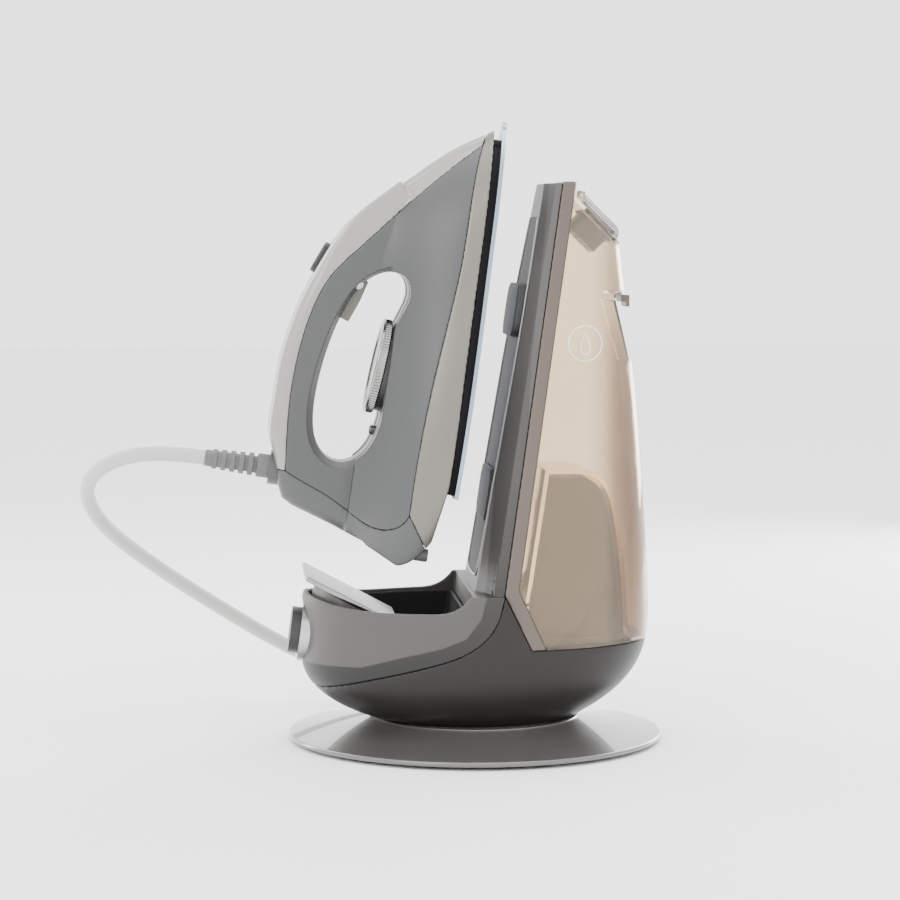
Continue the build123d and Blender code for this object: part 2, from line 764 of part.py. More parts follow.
with BuildPart() as foot_screws:
    with BuildSketch(Plane.XY.offset(8.5)):
        with PolarLocations(40, 4, start_angle=45):
            Circle(4)
    extrude(amount=3)
    with BuildSketch(Plane.XY.offset(11.5)):
        with PolarLocations(40, 4, start_angle=45):
            Circle(2)
    extrude(amount=16)
foot_screws.part.label = "foot_screws"

# ---------------------------------------------------------------- station: knob places, glands
knob_plane = face_plane(knob_centre, knob_tilt)
ring_radius = 18.3
gland_x = -20.0
gland_height = 36.0
gland_mouth = 80.0
gland_radius = 7.0
inlet_x = 32.0
inlet_height = 34.0
inlet_radius = 6.5
valve_lean = Plane(origin=(60, 43.5, shelf_height),
                   x_dir=(cos(radians(tower_lean)), 0, -sin(radians(tower_lean))),
                   z_dir=(sin(radians(tower_lean)), 0, cos(radians(tower_lean))))
valve_radius = 4.5
socket_radius = 7.0


def rear_gland_plane(x, height):
    """Plane of a gland on the far side: local z leaves the housing along +Y."""
    return Plane(origin=(x, 0, height), x_dir=(1, 0, 0), z_dir=(0, 1, 0))


with BuildPart() as bowl_space:
    add(bowl_inside)
    add(slab_between(station_side, polygon(bowl_inside_side), wide), mode=Mode.INTERSECT)

with BuildPart() as bowl_shell:
    add(bowl_outside)
    add(slab_between(station_side, bowl_side, wide), mode=Mode.INTERSECT)
    add(bowl_space.part, mode=Mode.SUBTRACT)
    with BuildSketch(Plane.XY.offset(neck_height)):
        with PolarLocations(40, 4, start_angle=45):
            Circle(5)
    extrude(amount=15)
    with BuildSketch(Plane.XY.offset(neck_height)):
        with PolarLocations(40, 4, start_angle=45):
            Circle(2 + seat)
    extrude(amount=13, mode=Mode.SUBTRACT)
    with BuildSketch(rear_gland_plane(gland_x, gland_height)):
        Circle(gland_radius + seat)
    extrude(amount=90, mode=Mode.SUBTRACT)
    with BuildSketch(rear_gland_plane(inlet_x, inlet_height)):
        Circle(inlet_radius + seat)
    extrude(amount=90, mode=Mode.SUBTRACT)
    with BuildSketch(valve_lean):
        Circle(socket_radius + seat)
    extrude(amount=8, both=True, mode=Mode.SUBTRACT)
bowl_shell.part.label = "bowl_shell"

with BuildPart() as hose_gland:
    with BuildSketch(rear_gland_plane(gland_x, gland_height).offset(58)):
        Circle(gland_radius)
    extrude(amount=14)
    with BuildSketch(rear_gland_plane(gland_x, gland_height).offset(72)):
        Circle(gland_radius)
    with BuildSketch(rear_gland_plane(gland_x, gland_height).offset(gland_mouth)):
        Circle(hose_diameter / 2 + 1)
    loft()
    with BuildSketch(rear_gland_plane(gland_x, gland_height).offset(58)):
        Circle(3)
    extrude(amount=30, mode=Mode.SUBTRACT)
hose_gland.part.label = "hose_gland"

with BuildPart() as mains_inlet:
    with BuildSketch(rear_gland_plane(inlet_x, inlet_height).offset(54)):
        Circle(inlet_radius)
    extrude(amount=17)
    with BuildSketch(rear_gland_plane(inlet_x, inlet_height).offset(54)):
        Circle(3.5)
    extrude(amount=17, mode=Mode.SUBTRACT)
mains_inlet.part.label = "mains_inlet"

# ---------------------------------------------------------------- station: upper shell, well and spine
panel_thickness = 1.5
front_plane = Plane(origin=(tower_front_foot, 0, front_foot_height),
                    x_dir=(sin(radians(tower_front_lean)), 0, cos(radians(tower_front_lean))),
                    z_dir=(-cos(radians(tower_front_lean)), 0, sin(radians(tower_front_lean))))
panel_outline = [(-40, 31), (100, 35), (140, 30), (176, 21), (176, -21), (140, -30), (100, -35), (-40, -31)]
pad_length = 32.0
pad_width = 62.0
pad_thickness = 6.5
pad_places = (42.3, 153.5)     # along the docked sole, from its heel end

with BuildPart() as pad_pockets:
    with BuildSketch(docked_sole):
        with Locations(*[(place, 0) for place in pad_places]):
            RectangleRounded(pad_length + 2 * seat, pad_width + 2 * seat, 10)
    extrude(amount=-pad_thickness - seat)

well_wall_x = -84.0
ledge_height = 78.0            # top of the space inside the bowl
well_opening = [(-125, ledge_height), (-7.5, ledge_height), (-6, 90), (-5, 125), (-125, 125)]
with BuildPart() as shell_space:
    add(bowl_inside)
    with BuildSketch():
        Rectangle(2 * wide, 2 * wide)
    extrude(amount=ledge_height, mode=Mode.INTERSECT)
with BuildPart() as well_mouth:
    add(bowl_form(opening_inset))
    add(slab_between(station_side, polygon(well_opening), wide), mode=Mode.INTERSECT)

with BuildPart() as upper_shell:
    add(bowl_outside)
    add(tower)
    add(slab_between(station_side, upper_side, wide), mode=Mode.INTERSECT)
    add(shell_space.part, mode=Mode.SUBTRACT)
    add(well_mouth.part, mode=Mode.SUBTRACT)
    add(tower_form(wall, ledge_height - 2, tower_top - 13), mode=Mode.SUBTRACT)
    with BuildSketch(front_plane.offset(-panel_thickness - seat)):
        add(polygon(panel_outline))
        offset(amount=seat, mode=Mode.REPLACE)
    extrude(amount=20, mode=Mode.SUBTRACT)
    add(pad_pockets.part, mode=Mode.SUBTRACT)
    with BuildSketch(knob_plane.offset(-5 - seat)):
        Circle(ring_radius + seat)
    extrude(amount=20, mode=Mode.SUBTRACT)
    with BuildSketch(knob_plane):
        Circle(10 + seat)
    extrude(amount=-20, mode=Mode.SUBTRACT)
upper_shell.part.label = "upper_shell"

with BuildPart() as rest_panel:
    with BuildSketch(front_plane.offset(-panel_thickness)):
        add(polygon(panel_outline))
    extrude(amount=panel_thickness)
    add(pad_pockets.part, mode=Mode.SUBTRACT)
rest_panel.part.label = "rest_panel"

with BuildPart() as rest_pads:
    with BuildSketch(docked_sole):
        with Locations(*[(place, 0) for place in pad_places]):
            RectangleRounded(pad_length, pad_width, 10)
    extrude(amount=-pad_thickness)
rest_pads.part.label = "rest_pads"

liner_side = [(well_wall_x - liner_thickness, well_floor), (-18, well_floor), (-10.8, 62), (-7.8, 78),
              (-7.8, 82), (-125, 82), (-125, 79.8), (well_wall_x - liner_thickness, 79.8)]
well_side = [(well_wall_x, well_floor + liner_thickness), (-20, well_floor + liner_thickness), (-13, 62),
             (-10, 78), (-10, 90), (well_wall_x, 90)]
with BuildPart() as well_space:
    add(well_inner)
    add(slab_between(station_side, polygon(well_side), wide), mode=Mode.INTERSECT)

with BuildPart() as well_liner:
    add(well_outer)
    add(slab_between(station_side, polygon(liner_side), wide), mode=Mode.INTERSECT)
    add(well_space.part, mode=Mode.SUBTRACT)
    with BuildSketch(knob_plane.offset(-5 - seat)):
        Circle(ring_radius + seat)
    extrude(amount=20, mode=Mode.SUBTRACT)
well_liner.part.label = "well_liner"

plate_thickness = 3.0
plate_half_width = 38.0
plate_ends = (-31.0, 31.0)     # along the slope
with BuildPart() as heel_rest_plate:
    with BuildSketch(heel_plane):
        Rectangle(plate_ends[1] - plate_ends[0], 2 * plate_half_width)
    extrude(amount=-plate_thickness)
heel_rest_plate.part.label = "heel_rest_plate"

base_top = heel_plane.offset(-plate_thickness)
slope_high = base_top.from_local_coords(Vector(plate_ends[0] + 1, 0, 0))
slope_low = base_top.from_local_coords(Vector(plate_ends[1] - 3, 0, 0))
base_floor = well_floor + liner_thickness
rest_side = [(slope_high.X, slope_high.Z), (slope_low.X, slope_low.Z), (slope_low.X, base_floor),
             (well_wall_x + gap, base_floor), (well_wall_x + gap, 82), (slope_high.X, 82)]
with BuildPart() as heel_rest_base:
    with BuildSketch(station_side):
        add(polygon(rest_side))
    extrude(amount=plate_half_width - 2, both=True)
    add(well_inner, mode=Mode.INTERSECT)
    with BuildSketch(knob_plane.offset(-5 - seat)):
        Circle(ring_radius + seat)
    extrude(amount=20, mode=Mode.SUBTRACT)
heel_rest_base.part.label = "heel_rest_base"

# ---------------------------------------------------------------- station: knob
with BuildPart() as knob_ring:
    with BuildSketch(knob_plane.offset(-5)):
        Circle(ring_radius)
    extrude(amount=6.6)
    with BuildSketch(knob_plane.offset(-1)):
        Circle(knob_radius + gap)
    extrude(amount=5, mode=Mode.SUBTRACT)
    with BuildSketch(knob_plane.offset(-5)):
        Circle(shaft_radius + run_fit)
    extrude(amount=5, mode=Mode.SUBTRACT)
knob_ring.part.label = "knob_ring"

with BuildPart() as control_knob:
    with BuildSketch(knob_plane.offset(gap - 1)):
        Circle(knob_radius)
    extrude(amount=knob_length + 1 - gap)
    with BuildSketch(knob_plane.offset(knob_length)):
        with Locations((8.5, 0)):
            Rectangle(7, 1.4)
    extrude(amount=-0.6, mode=Mode.SUBTRACT)
    with BuildSketch(knob_plane):
        Circle(shaft_radius)
    extrude(amount=-13)
control_knob.part.label = "control_knob"

with BuildPart() as knob_switch:
    with BuildSketch(knob_plane.offset(-5)):
        Circle(10)
    extrude(amount=-8)
    with BuildSketch(knob_plane.offset(-5)):
        Circle(shaft_radius + run_fit)
    extrude(amount=-8, mode=Mode.SUBTRACT)
knob_switch.part.label = "knob_switch"

# ---------------------------------------------------------------- station: works inside
boiler_radius = 38.0
with BuildPart() as boiler:
    with BuildSketch(Plane.XY.offset(22)):
        with Locations((22, 0)):
            Circle(boiler_radius - 16)
    extrude(amount=23)
    fillet(boiler.edges().filter_by(GeomType.CIRCLE), 5)
    with BuildSketch(Plane.XY.offset(31)):
        with Locations((22, 0)):
            Circle(boiler_radius - 8)
    extrude(amount=3)
boiler.part.label = "boiler"

with BuildPart() as solenoid_valve:
    with BuildSketch(Plane.XY.offset(30)):
        with Locations((62, 0)):
            Rectangle(16, 18)
    extrude(amount=20)
    with BuildSketch(Plane.XY.offset(50)):
        with Locations((62, 0)):
            Circle(6)
    extrude(amount=6)
solenoid_valve.part.label = "solenoid_valve"

board_height = 26.0
with BuildPart() as control_board:
    with BuildSketch(Plane.XY.offset(board_height)):
        with Locations((-54, 0)):
            Rectangle(36, 44)
    extrude(amount=1.6)
    with BuildSketch(Plane.XY.offset(board_height + 1.6)):
        with Locations((-62, -12), (-46, 10)):
            Rectangle(14, 12)
    extrude(amount=9)
    with BuildSketch(Plane.XY.offset(board_height + 1.6)):
        with Locations((-62, 12), (-43, -14)):
            Circle(4.5)
    extrude(amount=12)
    with BuildSketch(Plane.XY.offset(board_height)):
        with Locations((-60, 16), (-60, -16), (-40, 16), (-40, -16)):
            Circle(2.5)
    extrude(amount=-4)
control_board.part.label = "control_board"

# The pump stands under a dome that the tank straddles; the dome's front leans with the tank's travel.
dome_front = 29.0
dome_back = 84.0
dome_top = 160.0
dome_half_width = 27.0
dome_wall = 2.2
dome_gap = 2.5


def dome_outline(grow):
    """Side view of the pump cover, grown outwards by `grow`."""
    lean = tan(radians(tower_lean))
    with BuildSketch() as outline:
        with BuildLine():
            front = Line((dome_front - grow, shelf_height),
                         (dome_front - grow + lean * (dome_top - shelf_height), dome_top + grow))
            crown = Line(front @ 1, (dome_back - 24, dome_top + grow))
            shoulder = Spline(crown @ 1, (dome_back - 7 + grow, dome_top - 22), (dome_back + grow, shelf_height),
                              tangents=((1, -0.05), (0.05, -1)))
            Line(shoulder @ 1, front @ 0)
        make_face()
    return outline.sketch


with BuildPart() as pump_cover:
    with BuildSketch(station_side):
        add(dome_outline(0))
    extrude(amount=dome_half_width, both=True)
    with BuildSketch(station_side):
        add(dome_outline(-dome_wall))
    extrude(amount=dome_half_width - dome_wall, both=True, mode=Mode.SUBTRACT)
pump_cover.part.label = "pump_cover"

with BuildPart() as water_pump:
    with BuildSketch(Plane.XY.offset(shelf_height)):
        with Locations((56, 0)):
            Circle(17)
    extrude(amount=48)
    with BuildSketch(Plane.XY.offset(shelf_height + 48)):
        with Locations((56, 0)):
            Circle(9)
    extrude(amount=20)
water_pump.part.label = "water_pump"

# ---------------------------------------------------------------- station: tank
notch_low = 230.4
notch_high = 268.8
notch_side = [(130, notch_low), (91.2, notch_low), (82.2, notch_high - 3.6), (82.8, notch_high),
              (130, notch_high)]
lid_edge = (57.5, 326.5)       # front end of the tank's sloping top
slope = tan(radians(lid_slope))
frame_top = 336.0
tank_side = [
    (back_x(tank_corner_height) + gap, tank_corner_height),
    (tank_foot_x, shelf_height + gap),
    (130, shelf_height + gap),
    (130, lid_edge[1] - slope * (130 - lid_edge[0])),
    lid_edge,
    (lid_edge[0], frame_top),
    (back_x(frame_top) - 5, frame_top),
    (back_x(tank_corner_height) - 10, tank_corner_height),
]
strip = 8.0                    # width of the frame seen from the side
frame_side = [
    (tank_foot_x - 5, shelf_height - 5),
    (tank_foot_x + strip + 1, shelf_height - 5),
    (tank_foot_x + strip + 1, shelf_height + gap),
    (back_x(tank_corner_height) + strip + 1, tank_corner_height + 3),
    (back_x(frame_top) + strip + 1, frame_top + 5),
    (back_x(frame_top) - 10, frame_top + 5),
    (back_x(tank_corner_height) - 10, tank_corner_height),
    (back_x(tank_corner_height) - 10, shelf_height - 5),
]
down_slope = (cos(radians(lid_slope)), 0, -sin(radians(lid_slope)))
lid_plane = Plane(origin=(lid_edge[0], 0, lid_edge[1]), x_dir=down_slope,
                  z_dir=(sin(radians(lid_slope)), 0, cos(radians(lid_slope))))
mouth_start = 8.0
mouth_end = 34.0
mouth_half_width = 17.0
knuckle_half = 18.0
ear_width = 5.0
hinge_place = (1.6, 4.0)       # along and above the sloping top
lid_pin_radius = 1.2
knuckle_radius = 2.8
lid_side = Plane(origin=(lid_edge[0], 0, lid_edge[1]), x_dir=down_slope, z_dir=(0, -1, 0))

tank_outside = tank_form(0)
with BuildPart() as tank_solid:
    add(tank_outside)
    add(slab_between(station_side, polygon(tank_side), wide), mode=Mode.INTERSECT)
    add(slab_between(station_side, polygon(notch_side), wide), mode=Mode.SUBTRACT)
with BuildPart() as tank_space:
    add(tank_form(tank_wall))
    with BuildSketch(station_side):
        add(polygon(tank_side))
        offset(amount=-tank_wall, mode=Mode.REPLACE)
    extrude(amount=wide, both=True, mode=Mode.INTERSECT)
    with BuildSketch(station_side):
        add(polygon(notch_side))
        offset(amount=tank_wall, mode=Mode.REPLACE)
    extrude(amount=wide, both=True, mode=Mode.SUBTRACT)
    with BuildSketch(station_side):
        add(dome_outline(dome_gap + tank_wall))
    extrude(amount=dome_half_width + dome_gap + tank_wall, both=True, mode=Mode.SUBTRACT)
with BuildPart() as dome_recess:
    with BuildSketch(station_side):
        add(dome_outline(dome_gap))
    extrude(amount=dome_half_width + dome_gap, both=True)
frame_zone = slab_between(station_side, polygon(frame_side), wide)

with BuildPart() as lid_ears:
    with BuildSketch(lid_side.offset(knuckle_half + gap)):
        with BuildLine():
            Polyline((hinge_place[0] - 2.2, -1), (hinge_place[0] - 3, hinge_place[1]),
                     (hinge_place[0], hinge_place[1] + 3), (hinge_place[0] + 3, hinge_place[1]),
                     (hinge_place[0] + 4, 0), close=True)
        make_face()
        with Locations(hinge_place):
            Circle(lid_pin_radius + seat, mode=Mode.SUBTRACT)
    extrude(amount=ear_width)
    mirror(about=Plane.XZ)

with BuildPart() as water_tank:
    add(tank_solid.part)
    add(tank_space.part, mode=Mode.SUBTRACT)
    add(dome_recess.part, mode=Mode.SUBTRACT)
    add(frame_zone, mode=Mode.SUBTRACT)
    with BuildSketch(lid_plane):
        with Locations(((mouth_start + mouth_end) / 2, 0)):
            RectangleRounded(mouth_end - mouth_start, 2 * mouth_half_width, 6)
    extrude(amount=4, both=True, mode=Mode.SUBTRACT)
    with BuildSketch(valve_lean):
        Circle(valve_radius + seat)
    extrude(amount=6, both=True, mode=Mode.SUBTRACT)
    add(lid_ears.part)
water_tank.part.label = "water_tank"

with BuildPart() as tank_frame:
    add(tank_solid.part)
    add(tank_space.part, mode=Mode.SUBTRACT)
    add(dome_recess.part, mode=Mode.SUBTRACT)
    add(frame_zone, mode=Mode.INTERSECT)
tank_frame.part.label = "tank_frame"

with BuildPart() as lid_pin:
    with BuildSketch(lid_side):
        with Locations(hinge_place):
            Circle(lid_pin_radius)
    extrude(amount=knuckle_half + ear_width, both=True)
lid_pin.part.label = "lid_pin"

lid_end = 36.5
lid_skin = 1.6
lid_outline = [(hinge_place[0], gap), (lid_end, gap), (lid_end - 2.5, lid_thickness - 1.5),
               (lid_end - 6, lid_thickness), (hinge_place[0], lid_thickness)]
with BuildPart() as tank_lid:
    with BuildSketch(lid_side):
        add(polygon(lid_outline))
    extrude(amount=knuckle_half, both=True)
    with BuildSketch(lid_plane.offset(gap)):
        with Locations(((6 + lid_end - 2.5) / 2, 0)):
            RectangleRounded(lid_end - 8.5, 2 * knuckle_half - 2 * lid_skin, 3)
    extrude(amount=lid_thickness - gap - lid_skin - 1, mode=Mode.SUBTRACT)
    with BuildSketch(lid_side):
        with Locations(hinge_place):
            Circle(knuckle_radius)
    extrude(amount=knuckle_half, both=True)
    with BuildSketch(lid_side):
        with Locations(hinge_place):
            Circle(lid_pin_radius + run_fit)
    extrude(amount=knuckle_half, both=True, mode=Mode.SUBTRACT)
    with BuildSketch(lid_plane.offset(gap)):
        with Locations((lid_end + 1.5, 0)):
            Rectangle(4, 12)
    extrude(amount=lid_skin)
tank_lid.part.label = "tank_lid"

with BuildPart() as lid_seal:
    with BuildSketch(lid_plane):
        with Locations(((mouth_start + mouth_end) / 2, 0)):
            RectangleRounded(mouth_end - mouth_start - 2 * seat, 2 * (mouth_half_width - seat), 6)
            RectangleRounded(mouth_end - mouth_start - 4, 2 * (mouth_half_width - 2), 5, mode=Mode.SUBTRACT)
    extrude(amount=-tank_wall)
lid_seal.part.label = "lid_seal"

with BuildPart() as filler_strainer:
    with BuildSketch(lid_plane):
        with Locations(((mouth_start + mouth_end) / 2, 0)):
            RectangleRounded(mouth_end - mouth_start - 4.2, 2 * (mouth_half_width - 2.1), 5)
            RectangleRounded(mouth_end - mouth_start - 6.6, 2 * (mouth_half_width - 3.3), 4,
                             mode=Mode.SUBTRACT)
    extrude(amount=-14)
    with BuildSketch(lid_plane.offset(-14)):
        with Locations(((mouth_start + mouth_end) / 2, 0)):
            RectangleRounded(mouth_end - mouth_start - 4.2, 2 * (mouth_half_width - 2.1), 5)
            with GridLocations(4, 4, 4, 5):
                Circle(1.1, mode=Mode.SUBTRACT)
    extrude(amount=1.2)
filler_strainer.part.label = "filler_strainer"

latch_travel = 3.0
with BuildPart() as tank_latch:
    with BuildSketch(Plane.XY.offset(notch_high - gap - 4)):
        with Locations((84.2 + latch_travel + 2.5, 0)):
            Rectangle(5, 22)
    extrude(amount=4)
    with BuildSketch(Plane.XY.offset(notch_high - gap - 4)):
        with Locations((84.2 + latch_travel + 4, 0)):
            Rectangle(2, 22)
    extrude(amount=-3)
tank_latch.part.label = "tank_latch"

with BuildPart() as tank_valve:
    with BuildSketch(valve_lean.offset(-7)):
        Circle(valve_radius)
    extrude(amount=11)
    with BuildSketch(valve_lean.offset(3.9)):
        Circle(valve_radius + 2)
    extrude(amount=1.4)
tank_valve.part.label = "tank_valve"

with BuildPart() as valve_socket:
    with BuildSketch(valve_lean.offset(-12)):
        Circle(socket_radius)
    extrude(amount=10.2)
    with BuildSketch(valve_lean.offset(-9)):
        Circle(valve_radius + gap)
    extrude(amount=10, mode=Mode.SUBTRACT)
valve_socket.part.label = "valve_socket"

# ---------------------------------------------------------------- hose
# From the iron's strain relief, round to the far side, and down to the coil behind the station.
hose_start = iron_point(hose_exit_u, 0, relief_end)
hose_next = iron_point(hose_exit_u, 0, relief_end + 30)
hose_points = [
    (hose_start.X, 0, hose_start.Z),
    (hose_next.X, 0, hose_next.Z),
    (-222, 16, 168),
    (-238, 48, 150),
    (-230, 84, 124),
    (-200, 112, 96),
    (-158, 128, 66),
    (-110, 134, 36),
    (-60, 136, 14),
    (-14, 135.4, 5),
    (coil_centre[0], coil_centre[1] - coil_mean_radius, 5),
]
tail_points = [
    (gland_x, gland_mouth, gland_height),
    (gland_x, 102, gland_height),
    (gland_x - 0.5, 128, 32),
    (gland_x, 155, 22),
    (coil_centre[0] - coil_mean_radius, coil_centre[1] - 4, 15),
]


def corner_radii(points):
    """Largest even arcs for a route: 0.45 of the shorter run over the tangent of half the turn."""
    vectors = [Vector(*point) for point in points]
    radii = []
    for before, here, after in zip(vectors, vectors[1:], vectors[2:]):
        run_in = here - before
        run_out = after - here
        half_turn = radians(run_in.get_angle(run_out)) / 2
        radii.append(0.45 * min(run_in.length, run_out.length) / tan(half_turn))
    return radii


hose_radii = corner_radii(hose_points)
tail_radii = corner_radii(tail_points)
print("hose radii", [round(radius) for radius in hose_radii])
print("hose tail radii", [round(radius) for radius in tail_radii])

with BuildPart() as steam_hose:
    with BuildLine() as hose_path:
        FilletPolyline(*hose_points, radius=hose_radii)
    with BuildSketch(Plane(origin=hose_path.line @ 0, z_dir=hose_path.line % 0)):
        Circle(hose_diameter / 2)
    sweep()
steam_hose.part.label = "steam_hose"

with BuildPart() as hose_tail:
    with BuildLine() as tail_path:
        FilletPolyline(*tail_points, radius=tail_radii)
    with BuildSketch(Plane(origin=tail_path.line @ 0, z_dir=tail_path.line % 0)):
        Circle(hose_diameter / 2)
    sweep()
hose_tail.part.label = "hose_tail"

coil_layers = 2
with BuildPart() as hose_coil:
    with BuildSketch():
        with Locations(coil_centre):
            Circle(coil_mean_radius + hose_diameter)
            Circle(coil_mean_radius - hose_diameter, mode=Mode.SUBTRACT)
    extrude(amount=coil_layers * hose_diameter + 1)
hose_coil.part.label = "hose_coil"

section = pi * (hose_diameter / 2) ** 2
hose_length = 2 * pi * coil_mean_radius * coil_turns
for piece, path in ((steam_hose, hose_path), (hose_tail, tail_path)):
    run = sum(edge.length for edge in path.line.edges())
    hose_length += run
    ratio = piece.part.volume / (section * run)
    print(piece.part.label, "length", round(run), "volume ratio", round(ratio, 3))
print("hose length", round(hose_length))

# ---------------------------------------------------------------- write every piece
pieces = [
    soleplate, heating_element, steam_chamber, chamber_cover, heat_shield, thermal_fuse, iron_screws,
    main_shell, skirt, handle_top_cover, rear_cover, heel_feet, dial, dial_shaft, dial_base, thermostat,
    steam_trigger, trigger_pin, trigger_spring, thumb_button, button_spring, handle_switches, indicator_lamp,
    strain_relief, hose_collar, steam_tube, terminal_block,
    foot_disc, foot_mat, foot_weight, foot_screws, bowl_shell, hose_gland, mains_inlet, upper_shell,
    rest_panel, rest_pads, well_liner, heel_rest_plate, heel_rest_base, knob_ring, control_knob, knob_switch,
    boiler, solenoid_valve, control_board, pump_cover, water_pump, valve_socket,
    water_tank, tank_frame, lid_pin, tank_lid, lid_seal, filler_strainer, tank_latch, tank_valve,
    steam_hose, hose_tail, hose_coil,
]
os.makedirs("parts", exist_ok=True)
for piece in pieces:
    export_step(piece.part, f"parts/{piece.part.label}.step")
print("pieces", len(pieces))
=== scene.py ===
# %% [markdown]
# # A steam iron held above its docking station
# The imported model is loaded first. It fixes where every piece is, so nothing is fitted by eye
# afterwards.

import json
from math import cos, pi, radians, sin, tau

import bmesh
import bpy
import numpy as np
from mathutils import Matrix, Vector


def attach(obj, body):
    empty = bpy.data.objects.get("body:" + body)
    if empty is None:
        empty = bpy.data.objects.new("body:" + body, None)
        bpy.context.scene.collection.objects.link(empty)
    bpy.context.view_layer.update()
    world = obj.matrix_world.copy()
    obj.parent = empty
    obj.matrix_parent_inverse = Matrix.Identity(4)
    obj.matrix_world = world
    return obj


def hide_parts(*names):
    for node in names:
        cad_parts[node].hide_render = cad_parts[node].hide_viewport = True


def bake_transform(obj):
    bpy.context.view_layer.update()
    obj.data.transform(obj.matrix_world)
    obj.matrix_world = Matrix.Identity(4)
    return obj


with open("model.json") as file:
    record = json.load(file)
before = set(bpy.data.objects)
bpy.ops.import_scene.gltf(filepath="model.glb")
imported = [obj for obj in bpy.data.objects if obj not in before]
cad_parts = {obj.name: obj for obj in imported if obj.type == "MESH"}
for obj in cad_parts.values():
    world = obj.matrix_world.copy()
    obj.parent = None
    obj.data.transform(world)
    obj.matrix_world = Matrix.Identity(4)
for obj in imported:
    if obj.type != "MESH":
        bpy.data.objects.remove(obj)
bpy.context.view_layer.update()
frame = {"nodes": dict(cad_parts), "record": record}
mm = 0.001

# %% [markdown]
# ## Camera
# Product pictures are taken from far away with a long lens, so that upright lines stay upright.
# The camera stands 1.7 m off, a little above the handle, and turned a few degrees past the side.

# %% Set the camera
turn = radians(-4.5)
look_at = Vector((-15 * mm, 0, 175 * mm))
stand_off = 1.7
camera_height = 0.305
toward_camera = Vector((sin(turn), -cos(turn), 0))
camera_data = bpy.data.cameras.new("camera")
camera_data.lens = 113
camera = bpy.data.objects.new("camera", camera_data)
bpy.context.collection.objects.link(camera)
camera.location = look_at + stand_off * toward_camera
camera.location.z = camera_height
camera.rotation_euler = (look_at - camera.location).to_track_quat("-Z", "Y").to_euler()
bpy.context.scene.camera = camera
print("camera at", [round(value, 3) for value in camera.location])

# %% [markdown]
# ## Floor and light
# A plain pale floor and a bright, even surround give the open look of a studio. One large soft
# light from the upper left shapes the iron, and a long one behind the tank makes the clear
# plastic glow.

# %% Lay the floor and hang the lights
def plain_material(name, colour, roughness=0.6):
    """A stage material: one colour, no detail."""
    material = bpy.data.materials.new(name)
    material.use_nodes = True
    shader = material.node_tree.nodes["Principled BSDF"]
    shader.inputs["Base Color"].default_value = (*colour, 1)
    shader.inputs["Roughness"].default_value = roughness
    return material


def soft_light(name, place, target, size, watts):
    """A square area light that faces its target."""
    data = bpy.data.lights.new(name, "AREA")
    data.shape = "RECTANGLE"
    data.size, data.size_y = size
    data.energy = watts
    light = bpy.data.objects.new(name, data)
    bpy.context.collection.objects.link(light)
    light.location = place
    light.rotation_euler = (Vector(target) - Vector(place)).to_track_quat("-Z", "Y").to_euler()
    return light


floor_reach = 6.0
corners = [(-floor_reach, -floor_reach, 0), (floor_reach, -floor_reach, 0),
           (floor_reach, floor_reach, 0), (-floor_reach, floor_reach, 0)]
floor_mesh = bpy.data.meshes.new("floor")
floor_mesh.from_pydata(corners, [], [(0, 1, 2, 3)])
floor = bpy.data.objects.new("floor", floor_mesh)
floor_mesh.materials.append(plain_material("floor_white", (0.93, 0.93, 0.93)))
bpy.context.collection.objects.link(floor)
surround_strength = 2.7
soft_light("key", (-1.1, -1.3, 1.3), (0, 0, 0.2), (1.1, 0.9), 14)
soft_light("top", (0.1, 0.1, 1.7), (0, 0, 0.2), (1.0, 1.0), 12)
soft_light("tank_glow", (0.75, 0.9, 0.55), (0.05, 0, 0.2), (0.5, 1.0), 16)
soft_light("left_edge", (-1.0, 0.7, 0.6), (-0.05, 0, 0.22), (0.3, 1.2), 12)
world = bpy.data.worlds.new("surround")
world.use_nodes = True
world.node_tree.nodes["Background"].inputs["Color"].default_value = (1, 1, 1, 1)
world.node_tree.nodes["Background"].inputs["Strength"].default_value = surround_strength
bpy.context.scene.world = world
print("floor and lights are in place")

# %% [markdown]
# ## Where the hose runs
# A steam hose is stiff, so it leaves the iron straight, bends back in one wide curve, comes
# down and lies on the table. The length that isn't needed is wound into a round coil behind
# the station, and the last stretch goes into the gland at the back. It is one smooth curve:
# a NURBS spline that runs near its control points, never exactly through them.

# %% Route the hose
hose_diameter = 9 * mm
hose_route = [(-162.1, 0, 171.4), (-191.8, 0, 175.8), (-222, 16, 168), (-238, 48, 150), (-230, 84, 124),
              (-200, 112, 96), (-158, 128, 66), (-110, 134, 36), (-60, 136, 14), (-14, 135.4, 5)]
tail_route = [(-20, 155, 22), (-20.5, 128, 32), (-20, 102, 36), (-20, 80, 36)]
coil_middle = (30, 186)
coil_radius = 50
coil_turns = 3.72
points_a_turn = 14
half_pitch = 4.7     # half the distance between two turns that lie side by side
crossing = 0.35      # share of a turn in which the hose passes to the next lane
lowest = 5
layer_height = 9.1
lane_turn = 0.8      # turns wound when the hose crosses to the inner lane
layer_turn = 1.9     # and when it climbs on top of the first two
back_turn = 2.8      # and when it crosses back


def coil_points():
    """Turns of the coil: two side by side on the table, then two on top of them."""
    points = []
    steps = round(coil_turns * points_a_turn)
    for step in range(steps + 1):
        turn_done = step / points_a_turn
        angle = -pi / 2 + tau * turn_done
        if turn_done < layer_turn:
            across = half_pitch - 2 * half_pitch * min(max((turn_done - lane_turn) / crossing, 0), 1)
            height = lowest
        else:
            across = 2 * half_pitch * min(max((turn_done - back_turn) / crossing, 0), 1) - half_pitch
            height = lowest + layer_height * min((turn_done - layer_turn) / crossing, 1)
        ring = (coil_radius + across) / cos(pi / points_a_turn)
        points.append((coil_middle[0] + ring * cos(angle), coil_middle[1] + ring * sin(angle), height))
    return points


